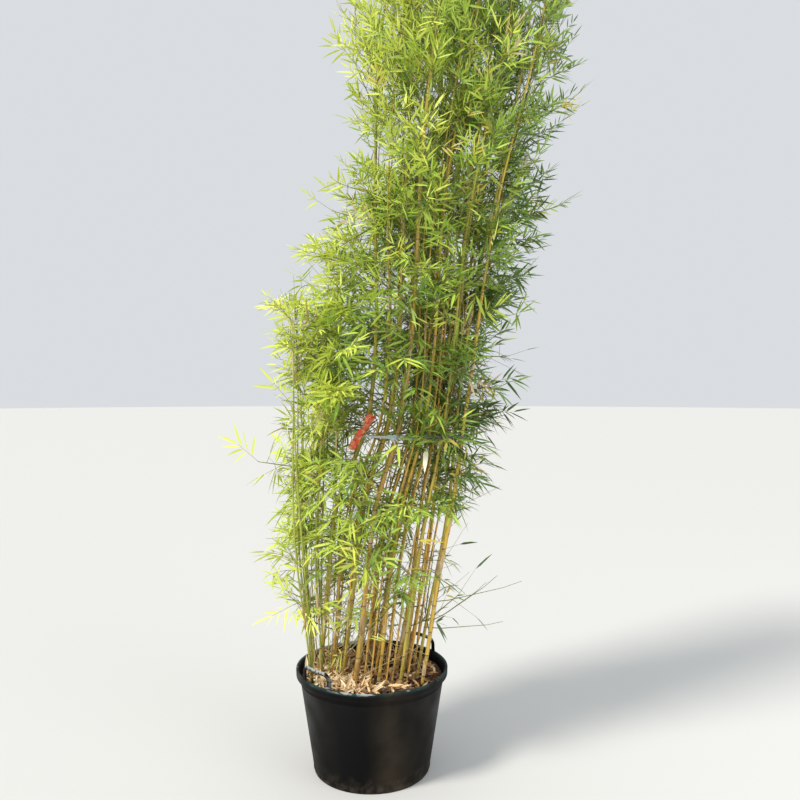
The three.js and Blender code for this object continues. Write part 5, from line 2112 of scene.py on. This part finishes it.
@dataclass
class Canes:
    """The canes with their joints, the slender ones between them, and the papery sheaths."""

    lines: list[CaneLine]
    sides: int = 12
    girth: float = 0.78
    slender_count: int = 24
    slender_shoots: int = 9
    slender_seed: int = 9
    slender_tries: int = 60
    slender_reach: float = 0.86
    slender_radii: Pair = (3.4, 6.0)
    slender_tops: Pair = (1900.0, 3300.0)
    slip_radii: Pair = (2.6, 4.2)
    slip_tops: Pair = (1250.0, 2020.0)
    sheath_seed: int = 31
    sheath_share: float = 0.17
    sheath_lengths: Pair = (50.0, 105.0)
    sheath_sweeps: Pair = (2.6, 4.4)
    collar: tuple[tuple[float, float, int], ...] = (
        (-15.0, 1.0, 2), (-3.2, 1.0, 1), (-1.6, 1.09, 1), (-0.4, 1.1, 1), (0.8, 0.99, 0), (4.4, 1.055, 0),
        (9.0, 1.0, 0),
    )

    def slender(self) -> list[CaneLine]:
        """Places thin canes in the widest gaps between the others.

        Returns:
            Their middle lines.
        """
        random = np.random.default_rng(self.slender_seed)
        placed: list[CaneLine] = []
        heights = np.array([380.0, 700.0, 1100.0, 1400.0, 1900.0])
        for k in range(self.slender_count):
            best, best_room = None, -1e9
            for _ in range(self.slender_tries):
                u, v = random.uniform(-0.85, 0.85, 2)
                if hypot(u, v) > self.slender_reach:
                    continue
                cane = CaneLine(
                    f"slender_{k + 1}", CLUMP, u, v, random.uniform(*self.slender_radii),
                    random.uniform(*self.slender_tops), tuple(random.uniform(0.0, TURN, 2)), tip_share=0.3,
                )
                near = [
                    norm(cane.at(heights)[:, :2] - c.at(heights)[:, :2], axis=-1).min()
                    for c in self.lines + placed
                ]
                if min(near) > best_room:
                    best, best_room = cane, min(near)
            placed.append(best)
        for k in range(self.slender_shoots):
            placed.append(CaneLine(
                f"slip_{k + 1}", SHOOTS, random.uniform(-1.2, 2.6), random.uniform(-0.95, 0.95),
                random.uniform(*self.slip_radii), random.uniform(*self.slip_tops),
                tuple(random.uniform(0.0, TURN, 2)),
            ))
        placed.append(CaneLine("slip_front", SHOOTS, -0.78, -1.05, 4.8, 1860.0, (0.6, 2.2)))
        return placed

    def skin_of(self, cane: CaneLine) -> CaneAge:
        """Chooses a cane's skin: mostly gold, a few olive or brown."""
        if cane.is_shoot():
            return CaneAge.YOUNG
        turn = (cane.phases[1] / TURN * 7.31) % 1.0
        names = (CaneAge.GOLD, CaneAge.OCHRE, CaneAge.OLIVE, CaneAge.RUSSET)
        return names[int(np.searchsorted((0.4, 0.68, 0.93), turn))]

    def rings(self, cane: CaneLine) -> list[tuple[float, float, int]]:
        """Lists a cane's rings.

        Args:
            cane: The cane.

        Returns:
            Each ring's height, share of the radius and finish of the faces above.
        """
        rings = [(cane.foot, 1.08, 0), (cane.foot + 10.0, 1.0, 0)]
        for z in cane.joints():
            below = rings[-1][0]
            span = z - 15.0 - below
            rings += [(below + span * t, 1.0, 0) for t in (0.33, 0.67) if span > 40.0]
            scale = 1.0 if cane.radius > 5.0 else 0.7
            rings += [(z + rise * scale, wide, finish) for rise, wide, finish in self.collar]
        return rings + [(cane.top - 8.0, 1.0, 0), (cane.top, 0.6, 0)]

    def add(self, bm: BMesh, cane: CaneLine, sides: int) -> None:
        """Adds a cane to a mesh.

        Args:
            bm: The mesh.
            cane: The cane.
            sides: How many sides it has.
        """
        rings = sorted(r for r in self.rings(cane) if r[0] <= cane.top)
        heights = np.array([r[0] for r in rings])
        share = (heights - cane.foot) / (cane.top - cane.foot)
        middles = cane.at(heights) * MM
        radii = cane.radius_at(heights) * np.array([r[1] for r in rings]) * self.girth * MM
        radii = radii * mix(1.0, 0.5, ramp(share, 0.72, 1.0))

        def place(ring: int, angle: float) -> Vector:
            """Returns the point of a ring at an angle round the cane."""
            return Vector(middles[ring]) + Vector((cos(angle), sin(angle), 0.0)) * float(radii[ring])

        wrap_tube(bm, sides, len(rings), place, lambda ring: rings[ring][2])

    def sheaths(self, canes: list[CaneLine]) -> Mesh:
        """Wraps papery sheaths half round canes above some joints, flared at the top.

        Args:
            canes: The canes.

        Returns:
            The sheaths' mesh.
        """
        random = np.random.default_rng(self.sheath_seed)
        bm = bmesh.new()
        for cane in canes:
            for z in cane.joints():
                if random.random() > self.sheath_share or z > cane.top - 160.0:
                    continue
                length, sweep = random.uniform(*self.sheath_lengths), random.uniform(*self.sheath_sweeps)
                start, flare = random.uniform(0.0, TURN), random.uniform(0.6, 2.2)
                made = bmesh.ops.create_grid(bm, x_segments=6, y_segments=5, size=0.5)["verts"]
                finish = random.integers(0, 2)
                for face in {f for v in made for f in v.link_faces}:
                    face.material_index = int(finish)
                for v in made:
                    up, around = v.co.y + 0.5, v.co.x * (1.0 - 0.62 * (v.co.y + 0.5) ** 2)
                    height = z + 1.0 + length * up
                    angle = start + around * sweep
                    radius = float(cane.radius_at(height)) * self.girth + 1.2 + flare * up**3 * 2.4
                    ripple = 0.5 * sin(9.0 * angle + 5.0 * up)
                    point = cane.at(height)
                    v.co = Vector((
                        point[0] + (radius + ripple * up) * cos(angle),
                        point[1] + (radius + ripple * up) * sin(angle), height)) * MM
        return finished(bm, "cane_sheaths", outwards=False)

    def build(self, slender: list[CaneLine]) -> None:
        """Enters every cane, the slender canes together and the sheaths.

        Args:
            slender: The slender canes.
        """
        skins = {age: age.value.material() for age in CaneAge}
        scar = Speckled("joint_scar", srgb(150, 120, 78), srgb(98, 74, 50)).material()
        bloom = Speckled("joint_bloom", srgb(204, 180, 118), srgb(174, 144, 82), rough=0.85).material()
        for cane in self.lines:
            bm = bmesh.new()
            self.add(bm, cane, 8 if cane.is_shoot() else self.sides)
            name = cane.name.replace("cane", "stalk").replace("shoot", "young")
            slot = "shoot" if cane.is_shoot() else "cane"
            enter(finished(bm, name), [skins[self.skin_of(cane)], scar, bloom], [cane.name])
        for name, young, skin, sides in (
            ("slender_shoots", True, CaneAge.YOUNG, 6), ("slender_canes", False, CaneAge.OCHRE, 8),
        ):
            bm = bmesh.new()
            for cane in (c for c in slender if c.is_shoot() == young):
                self.add(bm, cane, sides)
            enter(finished(bm, name), [skins[skin], scar, bloom])
        straw = Speckled("sheath_straw", srgb(224, 204, 158), srgb(182, 150, 104))
        bark = Speckled("sheath_bark", srgb(196, 166, 112), srgb(150, 118, 78))
        enter(self.sheaths(self.lines + slender), [straw.material(), bark.material()])


# The tie and the marker ribbon.


@dataclass
class Tie:
    """Two turns of three-ply cord round the clump, with a knot at the left front."""

    canes: list[CaneLine]
    rule: TieRule = field(default_factory=TieRule)
    radius: float = 0.0026
    step: float = 0.0055
    plies: int = 3
    lay: float = 0.022
    groove: float = 0.16
    turns: tuple[Pair, ...] = ((-0.0034, 0.0018), (0.0034, -0.0012))
    knot: float = 0.0062
    tails: tuple[Triple, ...] = ((0.026, -0.012, -0.018), (0.012, -0.016, -0.034))

    def loop(self) -> Array:
        """Returns evenly spaced points once round the clump, in metres."""
        corners = self.rule.outline(self.canes, GAP + 2.4) * MM
        return evenly(np.concatenate([corners, corners[:1]]), self.step)[:-1]

    def cord(self, bm: BMesh, path: Array, closed: bool) -> None:
        """Adds a twisted cord.

        Args:
            bm: The mesh that gets it.
            path: Its middle line.
            closed: Whether its ends meet.
        """
        count = len(path)
        steps = np.roll(path, -1, axis=0) - np.roll(path, 1, axis=0) if closed else np.gradient(path, axis=0)
        along = unit(steps)
        side = unit(np.cross(along, UP + (1e-3, 0.0, 0.0)))
        up = np.cross(side, along)
        turns = round(count * self.step / self.lay)

        def place(ring: int, angle: float) -> Vector:
            """Places a point of the cord's skin, which dips between the plies.

            Args:
                ring: The ring's number along the cord.
                angle: The angle round it.

            Returns:
                The point.
            """
            k = ring % count
            twist = TURN * turns * ring / count
            radius = self.radius * (1.0 + self.groove * cos(self.plies * (angle - twist / self.plies)))
            if not closed:
                radius *= min(1.0, 0.55 + 0.45 * min(ring, count - 1 - ring) / 2.0)
            point = path[k] + (side[k] * cos(angle) + up[k] * sin(angle)) * radius
            return Vector(point)

        wrap_tube(bm, 12, count + 1 if closed else count, place)

    def build(self) -> None:
        """Enters the tie."""
        loop = self.loop()
        phase = np.arange(len(loop)) / len(loop) * TURN
        bm = bmesh.new()
        for level, swing in self.turns:
            z = self.rule.z * MM + level + swing * np.sin(3.0 * phase)
            self.cord(bm, np.column_stack([loop, z]), True)
        front = loop[np.argmin(np.hypot(loop[:, 0] - 0.066, loop[:, 1] + 0.2))]
        centre = np.array([*front, self.rule.z * MM])
        t = np.linspace(0.0, TURN, 26)[:-1]
        knot = np.stack([
            self.knot * (np.sin(t) + 1.4 * np.sin(2.0 * t)), -0.004 - 0.0036 * np.sin(3.0 * t),
            self.knot * (np.cos(t) - 1.4 * np.cos(2.0 * t)),
        ], axis=-1)
        self.cord(bm, centre + knot, True)
        for reach in self.tails:
            s = np.linspace(0.0, 1.0, 9)[:, None]
            tail = centre + (0.0, -0.006, 0.0) + np.array(reach) * s
            self.cord(bm, tail - UP * 0.012 * s**2 + UP * 0.008 * s, False)
        enter(finished(bm, "gathering_cord"), [CordFibre().material()], ["tie_band"])


@dataclass
class MarkerRibbon:
    """A strip of red film knotted round one cane: a hanging tail, a short ear and a crumpled knot."""

    canes: list[CaneLine]
    rule: RibbonRule = field(default_factory=RibbonRule)
    width: float = 0.031
    film: float = 0.0006

    def strip(
        self, bm: BMesh, path: Callable[[float], Vector], side: Vector,
        width: Callable[[float], float], ripple: float,
    ) -> None:
        """Adds a rippled strip of film.

        Args:
            bm: The mesh that gets it.
            path: Its middle line, from a share of its length.
            side: The way across it.
            width: Its width at a share of its length.
            ripple: How far its surface waves.
        """
        made = bmesh.ops.create_grid(bm, x_segments=6, y_segments=30, size=0.5)
        verts = made["verts"]
        for v in verts:
            t, across = v.co.y + 0.5, v.co.x
            heading = (path(min(t + 0.02, 1.0)) - path(max(t - 0.02, 0.0))).normalized()
            face = heading.cross(side).normalized()
            wave = ripple * (sin(11.0 * t + 5.0 * across) * 0.6 + sin(23.0 * t - 8.0 * across) * 0.3)
            gutter = (across * across - 0.08) * 0.016 * (1.0 - t)
            v.co = path(t) + side * across * width(t) + face * (wave * min(1.0, 5.0 * t) + gutter)
        faces = list({f for v in verts for f in v.link_faces})
        bmesh.ops.solidify(bm, geom=faces, thickness=self.film)

    def build(self) -> None:
        """Enters the ribbon."""
        cane = self.rule.cane(self.canes)
        knot = Vector(cane.at(self.rule.z)) * MM
        radius = float(cane.radius_at(self.rule.z)) * 0.85 * MM
        tail = Vector(unit(self.rule.tail)) * self.rule.tail_length * MM
        ear = Vector(unit(self.rule.ear)) * self.rule.ear_length * MM
        start = knot + Vector((-0.004, -radius - 0.003, 0.0))
        side = Vector((0.8, -0.42, -0.25)).normalized()
        bm = bmesh.new()

        def hanging(t: float) -> Vector:
            """Returns the tail's middle line at a share of its length."""
            return start + tail * t * 0.94 + Vector((0.0, -0.008, 0.009)) * sin(pi * t)

        def folded(t: float) -> Vector:
            """Returns the middle line of the fold at the tail's end."""
            bulge = Vector((0.0, -0.007, 0.0)) * sin(pi * t)
            return hanging(0.985) + Vector((0.006, -0.003, 0.034)) * t + bulge

        def loop(t: float) -> Vector:
            """Returns the ear's middle line, out and back."""
            puff = Vector((-0.008, -0.014, 0.004)) * sin(TURN * t)
            return start + ear * sin(pi * t) + puff

        self.strip(bm, hanging, side, lambda t: self.width * min(1.0, 0.4 + 2.4 * t), 0.003)
        self.strip(bm, folded, side, lambda t: self.width * (1.0 - 0.3 * t), 0.0022)
        self.strip(bm, loop, side, lambda t: self.width * (0.42 + 0.42 * sin(pi * t)), 0.002)

        def band(ring: int, angle: float) -> Vector:
            """Places a point of the crumpled band round the cane.

            Args:
                ring: The ring's number from below.
                angle: The angle round the cane.

            Returns:
                The point.
            """
            t = ring / 14.0
            swell = radius + 0.0014 + 0.0026 * sin(pi * t) + 0.0009 * sin(4.0 * angle + 9.0 * t)
            front = 0.004 * max(0.0, -sin(angle)) * sin(pi * t)
            middle = Vector(cane.at(self.rule.z + (t - 0.5) * 26.0)) * MM
            return middle + Vector((cos(angle), sin(angle), 0.0)) * (swell + front)

        wrap_tube(bm, 24, 15, band)
        mesh = finished(bm, "red_marker", outwards=False)
        enter(mesh, [RibbonFilm().material()], ["marker_ribbon"])


# The studio.


@dataclass
class Studio:
    """A pale floor, soft light from the upper left and the camera."""

    floor_radius: float = 60.0
    lens: float = 34.07
    eye: Triple = (0.0, -3.0, 1.5)
    pitch: float = 0.91
    heading: float = -2.12
    sun_power: float = 2.7
    sun_softness: float = 14.0
    sun_heading: Triple = (0.62, 0.42, -0.86)
    fill_power: float = 60.0
    fill_place: Triple = (3.8, -3.2, 3.0)
    fill_heading: Triple = (-3.7, 3.2, -1.2)
    sky_power: float = 0.8

    @staticmethod
    def lamp(name: str, kind: str, heading: Sequence[float], power: float, tone: Colour) -> bpy.types.Object:
        """Adds a lamp.

        Args:
            name: Its name.
            kind: The kind of light.
            heading: The way it shines.
            power: Its power.
            tone: Its colour.

        Returns:
            The lamp.
        """
        light = bpy.data.lights.new(name, kind)
        light.energy, light.color = power, tone
        lamp = add(name, light)
        lamp.rotation_euler = Vector(heading).to_track_quat("-Z", "Y").to_euler()
        return lamp

    def build(self) -> None:
        """Adds the floor, the lights, the world and the camera."""
        scene = bpy.context.scene
        bm = bmesh.new()
        bmesh.ops.create_circle(bm, cap_ends=True, segments=128, radius=self.floor_radius)
        bmesh.ops.translate(bm, verts=bm.verts, vec=(0.0, 0.0, -0.0004))
        floor = add("floor", finished(bm, "floor", outwards=False))
        paint = Paint("floor_pale", 0.8)
        paint.wear("Base Color", srgb(210, 210, 208))
        floor.data.materials.append(paint.material)
        floor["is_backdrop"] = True
        world = bpy.data.worlds.new("studio")
        world.use_nodes = True
        sky = world.node_tree.nodes["Background"].inputs
        sky["Color"].default_value = (*srgb(240, 244, 248), 1.0)
        sky["Strength"].default_value = self.sky_power
        scene.world = world
        sun = self.lamp("sun", "SUN", self.sun_heading, self.sun_power, (1.0, 0.96, 0.88))
        sun.data.angle = radians(self.sun_softness)
        fill = self.lamp("fill", "AREA", self.fill_heading, self.fill_power, (0.94, 0.97, 1.0))
        fill.location, fill.data.shape, fill.data.size = self.fill_place, "DISK", 3.4
        scene.view_settings.view_transform = "Standard"
        camera = bpy.data.cameras.new("view")
        camera.lens, camera.sensor_width = self.lens, 36.0
        camera.clip_start, camera.clip_end = 0.05, 200.0
        eye = add("view", camera, self.eye)
        eye.rotation_euler = (radians(90.0 - self.pitch), 0.0, radians(self.heading))
        scene.camera = eye


def main() -> None:
    """Builds the plant piece by piece, then the studio, and notes the sizes."""
    logging.basicConfig(level=logging.INFO, format="%(message)s")
    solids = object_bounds()
    lines = CaneRule().lines()
    canes = Canes(lines)
    slender = canes.slender()
    tub = Tub()
    tub.build()
    Bed(tub, CaneTable(lines + slender)).build()
    canes.build(slender)
    Tie(lines).build()
    MarkerRibbon(lines).build()
    Foliage(lines, slender, np.array(solids[0]) / MM, np.array(solids[1]) / MM).build()
    Studio().build()


if __name__ == "__main__":
    main()
